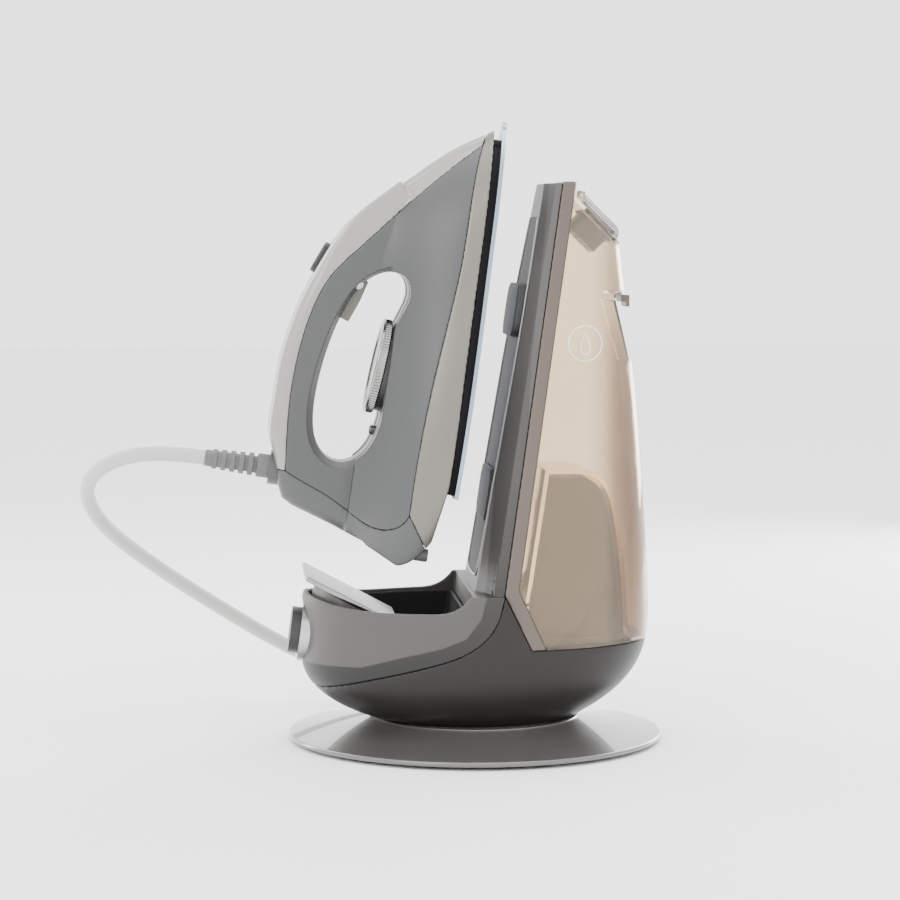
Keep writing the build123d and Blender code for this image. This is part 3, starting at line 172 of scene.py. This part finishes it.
def smooth_line(points):
    """One open NURBS spline near the given points, as a curve object that isn't shown."""
    data = bpy.data.curves.new("hose_line", "CURVE")
    data.dimensions = "3D"
    data.resolution_u = 8
    spline = data.splines.new("NURBS")
    spline.points.add(len(points) - 1)
    for knot, place in zip(spline.points, points):
        knot.co = (*(value * mm for value in place), 1)
    spline.order_u = 3
    spline.use_endpoint_u = True
    return data


def points_on(curve_data):
    """Places along a curve, read back from the curve itself."""
    holder = bpy.data.objects.new("line_holder", curve_data)
    line = bpy.data.meshes.new_from_object(holder)
    places = [vertex.co.copy() for vertex in line.vertices]
    bpy.data.objects.remove(holder)
    bpy.data.meshes.remove(line)
    return places


hose_path = points_on(smooth_line(hose_route + coil_points() + tail_route))
hose_length = sum((b - a).length for a, b in zip(hose_path, hose_path[1:]))
print("hose length", round(hose_length, 3), "m in", len(hose_path), "points")

# %% [markdown]
# ## A piece and its body
# Every piece rides on one of the imported bodies, so that it moves when a joint moves, and gets
# the finish it is given. The hose bends between two bodies, so it rides on none.

# %% Make a piece
def new_object(name, mesh, body, material=None):
    """Put a mesh in the scene as a piece that rides on a body, or on none."""
    piece = bpy.data.objects.new(name, mesh)
    bpy.context.collection.objects.link(piece)
    if material:
        mesh.materials.clear()
        mesh.materials.append(material)
    if body:
        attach(piece, body)
    return piece


# %% [markdown]
# ## Tubes
# A tube is a ring of points carried along a line. The ring mustn't twist, so each step keeps the
# last step's cross direction as nearly as it can. A relief function moves single points in or
# out, so that a weave or a rib is real geometry and not a painted one.

# %% Make tubes along a line
def frames_along(places):
    """A steady pair of cross directions at each place of a line."""
    side = None
    result = []
    for index, place in enumerate(places):
        ahead = places[min(index + 1, len(places) - 1)] - places[max(index - 1, 0)]
        ahead.normalize()
        if side is None:
            side = ahead.orthogonal().normalized()
        side = (side - side.dot(ahead) * ahead).normalized()
        result.append((place, side, ahead.cross(side)))
    return result


def tube_mesh(name, places, radius, sides=20, relief=None):
    """A closed tube along a line; relief(run, angle) raises its surface."""
    mesh = bpy.data.meshes.new(name)
    points, faces, layout = [], [], []
    run = 0.0
    rows = frames_along(places)
    for row, (place, side, up) in enumerate(rows):
        if row:
            run += (place - rows[row - 1][0]).length
        for step in range(sides):
            angle = tau * step / sides
            lift = relief(run, angle) if relief else 0
            points.append(place + (radius + lift) * (cos(angle) * side + sin(angle) * up))
            layout.append((step / sides, run))
    for row in range(len(rows) - 1):
        for step in range(sides):
            after = (step + 1) % sides
            faces.append((row * sides + step, row * sides + after, (row + 1) * sides + after,
                          (row + 1) * sides + step))
    faces.append(tuple(range(sides))[::-1])
    faces.append(tuple((len(rows) - 1) * sides + step for step in range(sides)))
    mesh.from_pydata(points, [], faces)
    mesh.update()
    for face in mesh.polygons[:-2]:
        face.use_smooth = True
    return mesh


print("tubes ready")

# %% [markdown]
# ## Turned pieces
# Knobs, dials and feet are round, so a profile of radius and height is spun about an axis. Rings
# of no radius shrink to a point and are welded. Edges that meet at a real angle stay sharp.

# %% Make turned pieces and set their shading
def turned_mesh(name, profile, origin, axis, sides=96, relief=None):
    """Spin a profile of (radius, height) about an axis; relief(radius, height, angle) moves it in or out."""
    mesh = bpy.data.meshes.new(name)
    axis = Vector(axis).normalized()
    side = Vector((0, 1, 0)) if abs(axis.y) < 0.9 else Vector((1, 0, 0))
    side = (side - side.dot(axis) * axis).normalized()
    up = axis.cross(side)
    points, faces = [], []
    for radius, height in profile:
        for step in range(sides):
            angle = tau * step / sides
            reach = radius + (relief(radius, height, angle) if relief else 0)
            points.append(Vector(origin) + height * axis + reach * (cos(angle) * side + sin(angle) * up))
    for row in range(len(profile) - 1):
        for step in range(sides):
            after = (step + 1) % sides
            faces.append((row * sides + step, row * sides + after, (row + 1) * sides + after,
                          (row + 1) * sides + step))
    if profile[0][0] > 0:
        faces.append(tuple(range(sides))[::-1])
        faces.append(tuple((len(profile) - 1) * sides + step for step in range(sides)))
    mesh.from_pydata(points, [], faces)
    mesh.validate()
    work = bmesh.new()
    work.from_mesh(mesh)
    bmesh.ops.remove_doubles(work, verts=work.verts, dist=1e-6)
    bmesh.ops.recalc_face_normals(work, faces=work.faces)
    work.to_mesh(mesh)
    work.free()
    return mesh


def shade_by_angle(piece, degrees=32):
    """Smooth faces that meet gently and keep the real edges sharp."""
    limit = radians(degrees)
    work = bmesh.new()
    work.from_mesh(piece.data)
    for face in work.faces:
        face.smooth = True
    for edge in work.edges:
        edge.smooth = len(edge.link_faces) == 2 and edge.calc_face_angle(pi) < limit
    work.to_mesh(piece.data)
    work.free()
    return piece


def bake_modifiers(piece):
    """Replace a piece's mesh with what its modifiers make of it."""
    shown = piece.evaluated_get(bpy.context.evaluated_depsgraph_get())
    mesh = bpy.data.meshes.new_from_object(shown)
    piece.modifiers.clear()
    piece.data = mesh
    return piece


print("turned pieces ready")

# %% [markdown]
# ## A small language for materials
# A finish is built from maths on values: noise times strength, one minus a mask. `Value` wraps
# a socket and overloads the operators, so that the maths reads as maths. `Finish` holds one
# material. Its `node` method adds any other node, with its settings first and its inputs after.

# %% Write the material helpers
class Value:
    """A number in a material that varies over the surface."""

    def __init__(self, tree, socket):
        self.tree = tree
        self.socket = socket

    def math(self, operation, *terms, clamp=False):
        node = self.tree.nodes.new("ShaderNodeMath")
        node.operation = operation
        node.use_clamp = clamp
        for place, term in zip(node.inputs, terms):
            if isinstance(term, Value):
                self.tree.links.new(term.socket, place)
            else:
                place.default_value = term
        return Value(self.tree, node.outputs[0])

    def __add__(self, other):
        return self.math("ADD", self, other)

    __radd__ = __add__

    def __mul__(self, other):
        return self.math("MULTIPLY", self, other)

    __rmul__ = __mul__

    def __sub__(self, other):
        return self.math("SUBTRACT", self, other)

    def __rsub__(self, other):
        return self.math("SUBTRACT", other, self)

    def above(self, limit):
        return self.math("GREATER_THAN", self, limit)

    def clamped(self):
        return self.math("ADD", self, 0.0, clamp=True)


class Finish:
    """One material: constants on the shader, and what varies linked to it."""

    def __init__(self, name, **constants):
        self.material = bpy.data.materials.new(name)
        self.material.use_nodes = True
        self.tree = self.material.node_tree
        self.shader = self.tree.nodes["Principled BSDF"]
        for socket, value in constants.items():
            self.shader.inputs[socket.replace("_", " ")].default_value = value

    def node(self, kind, settings=None, **sockets):
        node = self.tree.nodes.new("ShaderNode" + kind)
        for setting, value in (settings or {}).items():
            setattr(node, setting, value)
        for socket, value in sockets.items():
            place = node.inputs[socket.replace("_", " ")]
            if isinstance(value, Value):
                self.tree.links.new(value.socket, place)
            else:
                place.default_value = value
        return node

    def value(self, node, output=0):
        return Value(self.tree, node.outputs[output])

    def place(self):
        return self.value(self.node("TexCoord"), "Object")

    def noise(self, scale, detail=3.0, roughness=0.55, stretch=None):
        where = self.place()
        if stretch:
            where = self.value(self.node("VectorMath", {"operation": "MULTIPLY"}, Vector=where))
            where.socket.node.inputs[1].default_value = stretch
        noise = self.node("TexNoise", Vector=where, Scale=scale, Detail=detail, Roughness=roughness)
        return self.value(noise)

    def mix(self, factor, low, high):
        node = self.node("Mix", {"data_type": "RGBA"})
        for place, term in ((node.inputs[0], factor), (node.inputs[6], low), (node.inputs[7], high)):
            if isinstance(term, Value):
                self.tree.links.new(term.socket, place)
            else:
                place.default_value = (*term, 1) if isinstance(term, tuple) else term
        return Value(self.tree, node.outputs[2])

    def feed(self, socket, value):
        self.tree.links.new(value.socket, self.shader.inputs[socket])

    def bump(self, height, distance, strength=1.0):
        bumped = self.node("Bump", Height=height, Distance=distance, Strength=strength)
        self.feed("Normal", self.value(bumped))


print("material helpers ready")

# %% [markdown]
# ## Moulded plastic
# Most of the set is injection-moulded. The mould is spark-eroded, which leaves a very fine grain,
# and thick and thin walls cool into a faint cloud of colour. Both are noise: one fine and one
# wide. Where a mesh carries painted shade, the plastic turns to a second colour: painted shade.

# %% Mix moulded plastic
def moulded(name, colour, roughness=0.42, grain=0.00003, coat=0.0, coat_roughness=0.2, gloss=0.5,
            painted_shade_colour=None):
    """Moulded plastic: fine grain over a faint cloud, with a second colour painted as shade where the mesh
    carries painted shade.
    """
    finish = Finish(name, Coat_Weight=coat, Coat_Roughness=coat_roughness, Specular_IOR_Level=gloss)
    cloud = finish.noise(14, 4)
    fine = finish.noise(2600, 2, 0.7)
    dark = tuple(value * 0.9 for value in colour)
    shown = finish.mix((cloud * 1.6 - 0.3).clamped(), dark, colour)
    if painted_shade_colour:
        # Painted shade: the second colour wherever the mesh's painted shade value asks for it.
        painted_shade = finish.value(finish.node("Attribute", {"attribute_name": "painted_shade"}), "Fac")
        shown = finish.mix(painted_shade, shown, painted_shade_colour)
    finish.feed("Base Color", shown)
    finish.feed("Roughness", (cloud - 0.5) * 0.12 + (fine - 0.5) * 0.1 + roughness)
    finish.bump(fine, grain)
    return finish.material


print("plastic ready")

# %% [markdown]
# ## Brushed metal
# Brushing leaves long fine scratches. Noise squeezed across one direction makes such streaks, and
# they change the gloss, the colour and, a little, the height.

# %% Mix brushed metal
def metal(name, colour, roughness=0.28, stretch=(40, 40, 1), streak=0.16, deep=0.00002):
    """Brushed metal: long fine streaks that change the gloss and the height."""
    finish = Finish(name, Metallic=1.0)
    streaks = finish.noise(420, 3, 0.6, stretch)
    cloud = finish.noise(9, 3)
    dark = tuple(value * 0.86 for value in colour)
    finish.feed("Base Color", finish.mix((cloud * 0.8 + streaks * 0.5 - 0.15).clamped(), dark, colour))
    finish.feed("Roughness", (streaks - 0.5) * streak + (cloud - 0.5) * 0.1 + roughness)
    finish.bump(streaks, deep)
    return finish.material


print("metal ready")

# %% [markdown]
# ## Pearl and champagne paint
# The strip over the handle and the skirt are sprayed. Metal flake lies in the paint like tiny
# mirrors at random angles, so cells and noise of flake size change the colour and the gloss.

# %% Mix flake paint
def flake_paint(name, colour, roughness, flake=0.5, metallic=0.75, coat=0.35):
    """Paint with metal flake under a clear coat: sparkle in colour and gloss at flake size."""
    finish = Finish(name, Metallic=metallic, Coat_Weight=coat, Coat_Roughness=0.12)
    cells = finish.node("TexVoronoi", Vector=finish.place(), Scale=2300.0)
    sparkle = finish.noise(3000, 1)
    cloud = finish.noise(11, 3)
    dark = tuple(value * 0.82 for value in colour)
    light = tuple(min(1.0, value * 1.12) for value in colour)
    mask = ((finish.value(cells) + sparkle) * flake + cloud * 0.5 - 0.35).clamped()
    finish.feed("Base Color", finish.mix(mask, dark, light))
    finish.feed("Roughness", (sparkle - 0.5) * 0.18 + (cloud - 0.5) * 0.06 + roughness)
    finish.bump(sparkle, 0.00001)
    return finish.material


print("paint ready")

# %% [markdown]
# ## Smoky clear plastic
# The tank is see-through and tinted. Light passes two walls, so the tint on the shader is much
# paler than the tank looks. Towards the back edge the colour darkens: painted shade for the dark edge the
# curved walls show.

# %% Mix tinted clear plastic
# Painted shade: where the clear plastic starts to darken towards its back edge, and over how long.
back_shade_from = 74 * mm
back_shade_run = 16 * mm


def clear_tinted(name, light, deep, back_shade_colour):
    """See-through plastic, a little uneven in colour, with painted shade darkening it towards the back edge.
    """
    finish = Finish(name, Transmission_Weight=0.96, IOR=1.4)
    cloud = finish.noise(7, 3)
    ripple = finish.noise(60, 2)
    clear = finish.mix(cloud, deep, light)
    along = finish.value(finish.node("SeparateXYZ", Vector=finish.place()), 0)
    # Painted shade towards the back edge, standing in for the dark edge of the curved walls.
    back_shade = ((along - back_shade_from) * (1 / back_shade_run)).clamped()
    finish.feed("Base Color", finish.mix(back_shade, clear, back_shade_colour))
    finish.feed("Roughness", (cloud - 0.5) * 0.03 + 0.045)
    finish.bump(ripple, 0.00004)
    return finish.material


print("clear plastic ready")

# %% [markdown]
# ## Rubber, woven sleeve and circuit board
# Rubber is matt and slightly uneven. The sleeve's yarns are real relief on the hose, so its
# finish only adds fibre and a little soil. The board gets solder mask over faint tracks.

# %% Mix rubber, sleeve and board
def rubbery(name, colour, roughness=0.6):
    """Soft rubber: matt, with a fine uneven skin and a few lighter scuffs."""
    finish = Finish(name, Specular_IOR_Level=0.35)
    skin = finish.noise(900, 4, 0.7)
    scuff = finish.noise(45, 5, 0.75)
    light = tuple(value * 1.35 + 0.01 for value in colour)
    finish.feed("Base Color", finish.mix((scuff * 2.2 - 0.9).clamped(), colour, light))
    finish.feed("Roughness", (skin - 0.5) * 0.2 + roughness)
    finish.bump(skin, 0.00006)
    return finish.material


def woven(name, colour):
    """Woven sleeve of a steam hose: the fibre in its yarns."""
    finish = Finish(name, Sheen_Weight=0.3, Sheen_Roughness=0.5)
    fibre = finish.noise(1700, 3, 0.7)
    soil = finish.noise(16, 4)
    dark = tuple(value * 0.8 for value in colour)
    finish.feed("Base Color", finish.mix((fibre * 0.9 + soil * 0.4 - 0.15).clamped(), dark, colour))
    finish.feed("Roughness", (fibre - 0.5) * 0.15 + 0.8)
    finish.bump(fibre, 0.00012)
    return finish.material


def circuit_green(name):
    """Solder mask: a glassy green over faint square tracks."""
    finish = Finish(name, Coat_Weight=0.6, Coat_Roughness=0.1)
    cells = finish.node("TexVoronoi", {"distance": "CHEBYCHEV"}, Vector=finish.place(), Scale=260.0)
    tracks = finish.value(cells).above(0.32)
    finish.feed("Base Color", finish.mix(tracks, (0.03, 0.16, 0.06), (0.06, 0.26, 0.1)))
    finish.feed("Roughness", tracks * 0.1 + 0.3)
    finish.bump(tracks, 0.00003)
    return finish.material


print("rubber, sleeve and board ready")

# %% [markdown]
# ## The finishes of this set
# Each finish is named for what it is on the set. The iron's body is a mid grey with a satin
# grain; the station is a warm dark taupe with a lighter upper shell; the foot is glossy.

# %% Choose the colours
finishes = {
    "soleplate_metal": metal("soleplate_metal", (0.3, 0.36, 0.43), 0.26, (1, 40, 1)),
    "cast_alloy": metal("cast_alloy", (0.35, 0.35, 0.34), 0.5, (1, 1, 1), 0.3, 0.0001),
    "heater_steel": metal("heater_steel", (0.24, 0.22, 0.21), 0.4),
    "steel": metal("steel", (0.5, 0.5, 0.5), 0.26),
    "heatproof_black": moulded("heatproof_black", (0.003, 0.0032, 0.0045), 0.55, gloss=0.1),
    "champagne_metal": flake_paint("champagne_metal", (0.165, 0.156, 0.137), 0.36, metallic=0.6,
                                   coat=0.1),
    "body_grey": moulded("body_grey", (0.048, 0.0515, 0.0495), 0.42, coat=0.06),
    "pearl": flake_paint("pearl", (0.3, 0.292, 0.272), 0.34, metallic=0.5, coat=0.2),
    "cover_grey": moulded("cover_grey", (0.055, 0.059, 0.057), 0.42, coat=0.08),
    "dial_silver": metal("dial_silver", (0.3, 0.295, 0.28), 0.24, (1, 1, 1)),
    "dark_plastic": moulded("dark_plastic", (0.012, 0.012, 0.0125), 0.36),
    "warm_grey": moulded("warm_grey", (0.115, 0.108, 0.09), 0.42),
    "lamp_lens": moulded("lamp_lens", (0.06, 0.06, 0.062), 0.2, coat=0.6),
    "grey_rubber": rubbery("grey_rubber", (0.085, 0.087, 0.087), 0.5),
    "dark_rubber": rubbery("dark_rubber", (0.02, 0.02, 0.021)),
    "foot_grey": moulded("foot_grey", (0.066, 0.062, 0.058), 0.22, 0.00001, 1.0, 0.04, 0.7),
    "taupe": moulded("taupe", (0.012, 0.0105, 0.0098), 0.4, gloss=0.28),
    # The upper shell's second, darker colour is painted shade for the flank of the spine.
    "upper_grey": moulded("upper_grey", (0.072, 0.068, 0.065), 0.42, gloss=0.25,
                          painted_shade_colour=(0.017, 0.0165, 0.016)),
    "panel_grey": moulded("panel_grey", (0.026, 0.025, 0.025), 0.5, gloss=0.06),
    "rest_steel": metal("rest_steel", (0.3, 0.3, 0.295), 0.3, (1, 40, 1)),
    "frame_brown": moulded("frame_brown", (0.082, 0.062, 0.047), 0.34, coat=0.15),
    # The third colour of each clear finish is painted shade for its back edge.
    "amber": clear_tinted("amber", (0.93, 0.82, 0.65), (0.88, 0.74, 0.55), (0.34, 0.24, 0.16)),
    "lid_smoke": clear_tinted("lid_smoke", (0.5, 0.48, 0.47), (0.42, 0.4, 0.39), (0.3, 0.27, 0.25)),
    "mesh_grey": moulded("mesh_grey", (0.085, 0.088, 0.1), 0.4),
    "board_green": circuit_green("board_green"),
    "print_white": moulded("print_white", (0.85, 0.84, 0.8), 0.5),
    "hose_white": woven("hose_white", (0.5, 0.495, 0.48)),
}
print(len(finishes), "finishes")

# %% [markdown]
# ## Plain inner pieces keep their CAD meshes
# Screws, springs, the heater and the works inside the station already have their true shapes.
# They only need the finish that belongs to their own material slot.

# %% Dress the CAD pieces
slot_of = {entry["node"]: entry["material_slot"] for entry in frame["record"]["subparts"]}
body_of_node = {}
for body, nodes in frame["record"]["behaviour"]["bodies"].items():
    body_of_node.update({node: body for node in nodes})
for name, piece in frame["nodes"].items():
    piece.data.materials.clear()
    piece.data.materials.append(finishes[slot_of[name]])
frame["nodes"]["tank_latch"].data.materials[0] = finishes["frame_brown"]
print("dressed", len(frame["nodes"]), "pieces")

# %% [markdown]
# ## Moulded shells with soft edges
# A mould can't make a razor edge: every rim of a plastic shell has a small round. The CAD shell
# is copied, rebuilt from equal small cells and relaxed a little. The walls stay where they are,
# and each edge and seam gets a round that catches the light.

# %% Soften the shells
special_finish = {"heel_feet": "grey_rubber", "tank_lid": "lid_smoke"}


def softened(node, cell, rounds):
    """Copy a CAD shell and round its edges by rebuilding and relaxing its mesh."""
    finish = finishes[special_finish.get(node, slot_of[node])]
    mesh = frame["nodes"][node].data.copy()
    piece = new_object(node + "_soft", mesh, body_of_node[node])
    rebuild = piece.modifiers.new("rebuild", "REMESH")
    rebuild.mode = "VOXEL"
    rebuild.voxel_size = cell * mm
    relax = piece.modifiers.new("relax", "SMOOTH")
    relax.factor = 0.5
    relax.iterations = rounds
    bake_modifiers(piece)
    piece.data.materials.clear()
    piece.data.materials.append(finish)
    for face in piece.data.polygons:
        face.use_smooth = True
    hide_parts(node)
    return piece


# Each shell's cell size in millimetres, and how many rounds it is relaxed.
shells = {
    "main_shell": (0.55, 6), "skirt": (0.8, 4), "handle_top_cover": (0.8, 5), "rear_cover": (0.8, 4),
    "steam_trigger": (0.5, 6), "thumb_button": (0.5, 5), "upper_shell": (0.55, 5), "bowl_shell": (1.1, 4),
    "well_liner": (0.9, 3), "heel_rest_base": (0.9, 4), "heel_rest_plate": (0.8, 3),
    "tank_frame": (0.9, 3), "tank_lid": (0.6, 3), "heel_feet": (0.5, 4), "rest_pads": (0.8, 4),
}
soft = {}
for node, (cell, rounds) in shells.items():
    soft[node] = softened(node, cell, rounds)
    print(node, len(soft[node].data.polygons), "faces")

# %% [markdown]
# ## Facets of the spine
# The dome over the well keeps the lighter colour. The band from its crease up the flank of the spine
# is painted shade: that facet turns away from the light, so it gets a darker colour, weaker higher up
# and stopping at the paler strip near the back. A number on each point of the mesh says how much
# painted shade it gets, so the line stays smooth however the mesh is cut.

# %% Paint shade on the flank
crease = [(-125, 48), (-106.5, 49.5), (-71.8, 51.2), (-48.6, 58.2), (-25.5, 63.9), (-11, 69.8),
          (-2.3, 81.3), (2.3, 98.7), (11, 183.6), (19.3, 227.7), (29.2, 283.5), (37.5, 340)]
light_edge = [(27.3, 185), (27.7, 212), (32.1, 255.4), (37.7, 299), (42.6, 340)]
edge_softness = 0.7 * mm


def beyond(line, places):
    """How far each place is to the right of or below a line in the side view, from its nearest stretch."""
    nearest = np.full(len(places), 1e9)
    signed = np.zeros(len(places))
    for start, end in zip(line, line[1:]):
        start = np.array(start) * mm
        run = np.array(end) * mm - start
        share = np.clip(((places - start) @ run) / (run @ run), 0, 1)
        away = places - start - share[:, None] * run
        distance = np.hypot(away[:, 0], away[:, 1])
        side = np.sign(run[1] * away[:, 0] - run[0] * away[:, 1])
        closer = distance < nearest
        nearest[closer] = distance[closer]
        signed[closer] = (side * distance)[closer]
    return signed


shell_mesh = soft["upper_shell"].data
coordinates = np.empty(len(shell_mesh.vertices) * 3)
shell_mesh.vertices.foreach_get("co", coordinates)
side_view = coordinates.reshape(-1, 3)[:, [0, 2]]
past_crease = np.clip(beyond(crease, side_view) / edge_softness + 0.5, 0, 1)
past_edge = np.clip(beyond(light_edge, side_view) / edge_softness + 0.5, 0, 1)
past_edge[side_view[:, 1] < light_edge[0][1] * mm] = 0
shade_weaker_above = np.clip(1.2 - side_view[:, 1] / (200 * mm), 0.35, 1)
# Painted shade on the flank facet: full past the crease, none past the paler strip, weaker higher up.
flank_shade = past_crease * (1 - past_edge) * shade_weaker_above
painted_shade = shell_mesh.attributes.new("painted_shade", "FLOAT", "POINT")
painted_shade.data.foreach_set("value", flank_shade)
print("flank covers", round(float(flank_shade.mean()), 2), "of the upper shell's points")

# %% [markdown]
# ## The foot
# The foot is one glossy turned disc: a short neck, a wide shallow flare and a thin rounded rim.
# A revolved mesh with many sides keeps its long reflections smooth.

# %% Turn the foot
def bend(start, out, back, end, steps):
    """Points of a cubic curve from start to end, pulled toward out and back."""
    pulls = np.array([start, out, back, end], float)
    points = []
    for step in range(steps + 1):
        t = step / steps
        weights = np.array([(1 - t) ** 3, 3 * t * (1 - t) ** 2, 3 * t * t * (1 - t), t ** 3])
        points.append(tuple(float(value) for value in weights @ pulls))
    return points


def turned_piece(name, node, profile, origin, axis, sides=96, relief=None):
    """A turned mesh that stands for a CAD node, with that node's body and finish."""
    mesh = turned_mesh(name, [(radius * mm, height * mm) for radius, height in profile],
                       [value * mm for value in origin], axis, sides, relief)
    piece = new_object(name, mesh, body_of_node[node], finishes[slot_of[node]])
    shade_by_angle(piece)
    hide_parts(node)
    print(name, len(mesh.polygons), "faces")
    return piece


foot_profile = ([(0, 15.2), (61.6, 15.2)] + bend((62.4, 14.9), (63.2, 12.2), (84, 8.7), (111.2, 5.1), 22)
                + bend((111.9, 5.0), (113.2, 4.8), (113.2, 2.4), (112, 2.1), 8)
                + [(107, 2.02), (64.5, 8.6), (59.5, 11.5), (0, 11.5)])
turned_piece("foot", "foot_disc", foot_profile, (0, 0, 0), (0, 0, 1), 224)

# %% [markdown]
# ## The temperature dial
# The dial is a bright disc with a dished face and a knurled rim for the thumb. The teeth are cut
# into the mesh, so they show along the outline and catch the light one by one.

# %% Turn and knurl the dial
dial_teeth = 92
tooth_depth = 0.5 * mm


def knurl(radius, height, angle):
    """Depth of the teeth, which stop short of the two smooth lips."""
    if radius < 28.3 * mm or not 0.7 * mm < height < 4.4 * mm:
        return 0
    return -tooth_depth * (0.5 + 0.5 * cos(dial_teeth * angle)) ** 0.6


dial_profile = [(0, 4.7), (22.6, 4.7), (23.4, 5.0), (23.8, 5.8), (24.3, 6.0), (27.4, 6.0), (28.3, 5.6),
                (28.6, 5.0), (28.6, 4.5), (28.59, 4.3), (28.6, 2.6), (28.6, 0.9), (28.5, 0.6), (28.2, 0.25),
                (27.6, 0), (0, 0)]
turned_piece("knurled_dial", "dial", dial_profile, (-55.698, 0, 225.339), (-0.97358, 0, 0.22835),
             dial_teeth * 8, knurl)

# %% [markdown]
# ## The strain relief
# Where the hose leaves the iron, a rubber sleeve keeps it from kinking. The root is smooth, and
# past it deep grooves between thick rings let the sleeve bend more and more towards its end.

# %% Turn the strain relief
ring_count = 5
ring_pitch = 5.4
relief_profile = [(0, 0), (7.2, 0), (7.2, 19.5), (6.9, 20.8), (5.1, 21.2)]
for ring in range(ring_count):
    root = 23.0 + ring * ring_pitch
    width = 6.9 - 0.22 * ring
    relief_profile += [(5.0, root), (width - 0.4, root + 0.1), (width, root + 0.5),
                       (width - 0.05, root + 2.8), (width - 0.5, root + 3.3), (5.0, root + 3.4)]
relief_profile += [(5.0, 51.2), (4.8, 52), (0, 52)]
turned_piece("hose_strain_relief", "strain_relief", relief_profile, (-110.68, 0, 163.81),
             (-0.98927, 0, 0.14608), 72)

# %% [markdown]
# ## Painted highlight and the tank's mark
# Two small things finish the station: a pale pearl bead round the inlaid panel of the spine, a painted
# highlight for the light on the panel's rounded rim, and a plain ring with a water drop printed on
# the tank, where the level is read.

# %% Lay the panel's highlight bead and the tank's mark
panel_lean = radians(10)
panel_foot = Vector((5.3, 0, 141.4))
panel_up = Vector((sin(panel_lean), 0, cos(panel_lean)))
panel_half = [(176, 21.4), (140, 30.4), (100, 35.4), (60, 34.3), (20, 33.1), (-36, 31.6), (-40.6, 24),
              (-41, 0)]
panel_edge = panel_half + [(along, -across) for along, across in reversed(panel_half[:-1])]
highlight_bead_route = [panel_foot + along * panel_up + Vector((0, across, 0)) for along, across in panel_edge]
# Painted highlight: a pale bead where the panel's rounded rim catches the light.
highlight_bead_mesh = tube_mesh("panel_highlight_bead", points_on(smooth_line(highlight_bead_route)), 0.75 * mm, 12)
new_object("panel_highlight_bead", highlight_bead_mesh, "station", finishes["pearl"])

mark_middle = (61.9, 240.6)
ring_radius = 10.4
drop_height = 6.4
print_radius = 0.4 * mm


def on_tank(across, up):
    """The place on the tank's near side that is straight behind a point of the mark."""
    start = Vector((mark_middle[0] + across, -200, mark_middle[1] + up)) * mm
    found, place, _, _ = frame["nodes"]["water_tank"].ray_cast(start, Vector((0, 1, 0)))
    return place


ring_steps = 72
drop_steps = 48
ring_places = []
for step in range(ring_steps + 1):
    angle = tau * step / ring_steps
    ring_places.append(on_tank(ring_radius * cos(angle), ring_radius * sin(angle)))
drop_places = []
for step in range(drop_steps + 1):
    angle = tau * step / drop_steps
    slim = 0.62 * sin(angle / 2) ** 1.3
    drop_places.append(on_tank(drop_height * slim * sin(angle), drop_height * cos(angle)))
for name, places in (("tank_ring", ring_places), ("tank_drop", drop_places)):
    mark_mesh = tube_mesh(name, places, print_radius, 8)
    new_object(name, mark_mesh, "tank", finishes["print_white"])
    print(name, len(mark_mesh.polygons), "faces")

# %% [markdown]
# ## The hose
# The sleeve is woven from yarns that run both ways round the tube. Two crossing waves raise the
# surface, so that the weave shows along the outline as well.

# %% Make the hose
yarn_pitch = 5.2 * mm
yarns_round = 12
yarn_height = 0.22 * mm


def weave(run, angle):
    """Height of the weave at a place on the hose."""
    over = sin(tau * run / yarn_pitch + yarns_round / 2 * angle)
    under = sin(tau * run / yarn_pitch - yarns_round / 2 * angle)
    return yarn_height * (over * under - 0.2)


def finer(places, step):
    """The same line with places an even step apart."""
    result = [places[0]]
    left = step
    for start, end in zip(places, places[1:]):
        length = (end - start).length
        while left <= length and length > 0:
            result.append(start.lerp(end, left / length))
            left += step
        left -= length
    result.append(places[-1])
    return result


hose_mesh = tube_mesh("hose", finer(hose_path, 1.3 * mm), hose_diameter / 2, 36, weave)
hose = new_object("hose", hose_mesh, None, finishes["hose_white"])
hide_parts("steam_hose", "hose_tail", "hose_coil")
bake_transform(hose)
print("hose has", len(hose_mesh.polygons), "faces")
